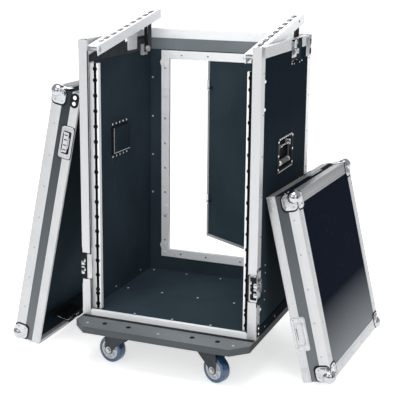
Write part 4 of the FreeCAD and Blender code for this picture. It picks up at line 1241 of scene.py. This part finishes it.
def slot_dark(centre, normal):
    """Painted shade for the inside of a rack rail's slot: it takes the rails' second finish, black paint."""
    slot = RACK_CENTRES / 2
    deep = centre.y > RAIL_Y + 0.6
    return 1 if deep and abs(abs(centre.x) - slot) < 7.4 and centre.y < RAIL_Y + 12 else 0


def board_face(centre, normal):
    """Scuffed top, greyer front, darker sides: the tones are painted light and shade on one board coat."""
    if normal.z > 0.5:
        return 0
    return 1 if normal.y < -0.5 else 2


def inner_face(centre, normal):
    """The lighter copy of the laminate, painted light, for faces that look into the case."""
    middle = Vector((0, CASE_D / 2, CASE_H / 2))
    return 1 if normal.dot(middle - centre) > 100 else 0


def cover_face(cover, place, outer):
    """Chooser for a cover's shell: a painted gradient of light, lighter towards the floor, on its long sides and
    bottom end, black on its top end, its own finish on the outer face.
    """
    back = place.inverted()

    def choose(centre, normal):
        there = back @ centre
        way = back.to_3x3() @ normal
        if way.z > 0.9 and there.z > cover.thick - 4:
            return outer
        if there.y > cover.tall / 2 - 3:
            return 2
        at_side = abs(there.x) > cover.wide / 2 - 3 or there.y < 3 - cover.tall / 2
        return 1 if at_side and abs(way.z) < 0.1 else 0

    return choose


def make_rack_nuts():
    """Black sliding nuts with a threaded collar, in both rails."""
    bm = bmesh.new()
    slot = RACK_CENTRES / 2
    floor = RAIL_FOOT + (RAIL_LEN - 16 * RACK_UNIT) / 2
    heights = [floor + FIRST_HOLE + RACK_UNIT * k for k in range(16)]
    heights += [floor + LAST_HOLE, floor + RACK_UNIT * 15 + LAST_HOLE]
    for side in (-1, 1):
        for z in heights:
            centre = side * slot
            slab(bm, (centre - 7, RAIL_Y + 2.9, z - 6.5), (centre + 7, RAIL_Y + 10.4, z + 6.5))
            there = facing((centre, RAIL_Y, z), (0, -1, 0))
            hoop(bm, [(-9, 3.0), (0.3, 3.0), (0.6, 3.3), (0.3, 3.7), (-9, 3.7)], 0, there, 16)
            hoop(bm, [(0, 3.7), (1.2, 3.9), (1.6, 4.4), (1.6, 5.9), (1.1, 6.6), (0, 6.8)], 0, there, 20)
    piece("rack_nut_set", bm, "nut_black", "case", nodes=["rack_nuts"])


def make_mixer_nuts():
    """Cage nuts in the square holes along both tilting rails."""
    turn = math.radians(MIXER_TILT)
    for side, name in SIDES:
        place = local_frame((side * RACK_CENTRES / 2, *MIXER_PIVOT), (1, 0, 0),
                            (0, math.cos(turn), math.sin(turn)))
        bm = bmesh.new()
        spots = [40 + RACK_UNIT * k + step for k in range(9) for step in (FIRST_HOLE, LAST_HOLE)]
        for y in (spot for spot in spots if spot < MIXER_LEN - 12):
            sheet(bm, (8.6, 8.6), 0.8, 4, 11.4, 0, place, (0, y), 0.3)
            sheet(bm, (12.4, 10), 1.2, 10.5, 12.0, 0, place, (0, y), 0.3)
            hoop(bm, [(6, 2.9), (12.3, 2.9), (12.6, 3.3), (12.3, 3.8), (6, 3.8)], 1,
                 place @ moved(0, y, 0), 14)
        piece("mixer_nuts_" + name, bm, "nut_black aluminium_pale_z", "mixer_rail_" + name)


def make_strut_flange(side, name):
    """Folded rear edge of a strut, standing towards the middle of the case."""
    low, high = (from_row(corner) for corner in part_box("mixer_strut_" + name))
    inner = low.x if side > 0 else high.x
    bm = bmesh.new()
    slab(bm, (inner, high.y - 1.5, low.z + 12), (inner - side * 13, high.y, high.z - 14))
    piece("strut_flange_" + name, bm, "paint_grey", body_of_node("mixer_strut_" + name),
          edge=0.4)


def make_board_strip():
    """Black strip on the board in front of the sill: painted shadow under the case."""
    bm = bmesh.new()
    slab(bm, (-HALF_W + 2, -13, -0.3), (HALF_W - 2, -0.5, 1.2))
    piece("board_painted_shadow", bm, "nut_black", "case", edge=0.4)


def dress_nodes():
    """Nodes that keep the CAD shape, with rounded edges and their own finishes."""
    refined("front_post_left front_post_right", "aluminium_z", 0.4)
    # Profiles inside the case take the bright aluminium copy, painted light; the door's edge takes a shaded copy,
    # painted shade.
    refined("front_sill rear_profiles door_frame", "aluminium_pale_x", 0.4)
    refined("rear_door_edge", "aluminium_painted_half_shade_z", 0.4)
    refined("top_profile_left top_profile_right", "aluminium_y", 0.3)
    refined("bottom_profiles", "laminate_black", 0.3)
    # The tilting rails take the bright copy too: painted light.
    refined("mixer_rail_left mixer_rail_right", "aluminium_pale_y", 0.4)
    refined("rear_hinge_leaf_door rear_hinge_leaf_fixed", "aluminium_z", 0.2)
    refined("case_rivets", "chrome", 0.2)
    refined("rear_door_latch_lower rear_door_latch_upper", "chrome", 0.3)
    refined("mixer_strut_left mixer_strut_right", "paint_black", 0.3)
    refined("mixer_brackets", "aluminium_z", 0.3)
    refined("wheel_board", "board_top board_front board_side", 2.5, board_face)
    for side, name in SIDES:
        make_strut_flange(side, name)
    # Outsides of the panels get a painted gradient, lighter towards the floor; faces inside get the lighter copy:
    # both painted light.
    refined("side_panel_left side_panel_right rear_panel base_panel", "laminate_panel laminate_inner",
            0.4, inner_face)
    refined("rear_door_panel", "laminate_inner", 0.4)
    # Shells: the lighter laminate is painted light, the sides' gradient is painted light from the floor, the top
    # cover's face a painted floor reflection.
    shells = "laminate_inner laminate_side laminate_black laminate_sheen"
    refined("front_cover_shell", shells, 0.4,
            cover_face(FRONT_COVER, front_cover_place(), 2))
    refined("top_cover_shell", shells, 0.4, cover_face(TOP_COVER, top_cover_place(), 3))
    # The insides of the rails' slots are painted black as shade.
    refined("rack_rail_left rack_rail_right", "aluminium_pale_z paint_black", 0.3, slot_dark)


for make in (dress_nodes, make_case_latches, make_handles, make_castors, make_front_cover, make_top_cover,
             make_case_corners, make_case_braces, make_opening_trim, make_headers, make_post_grooves,
             make_board_strip, make_screws, make_rack_nuts, make_mixer_nuts):
    make()
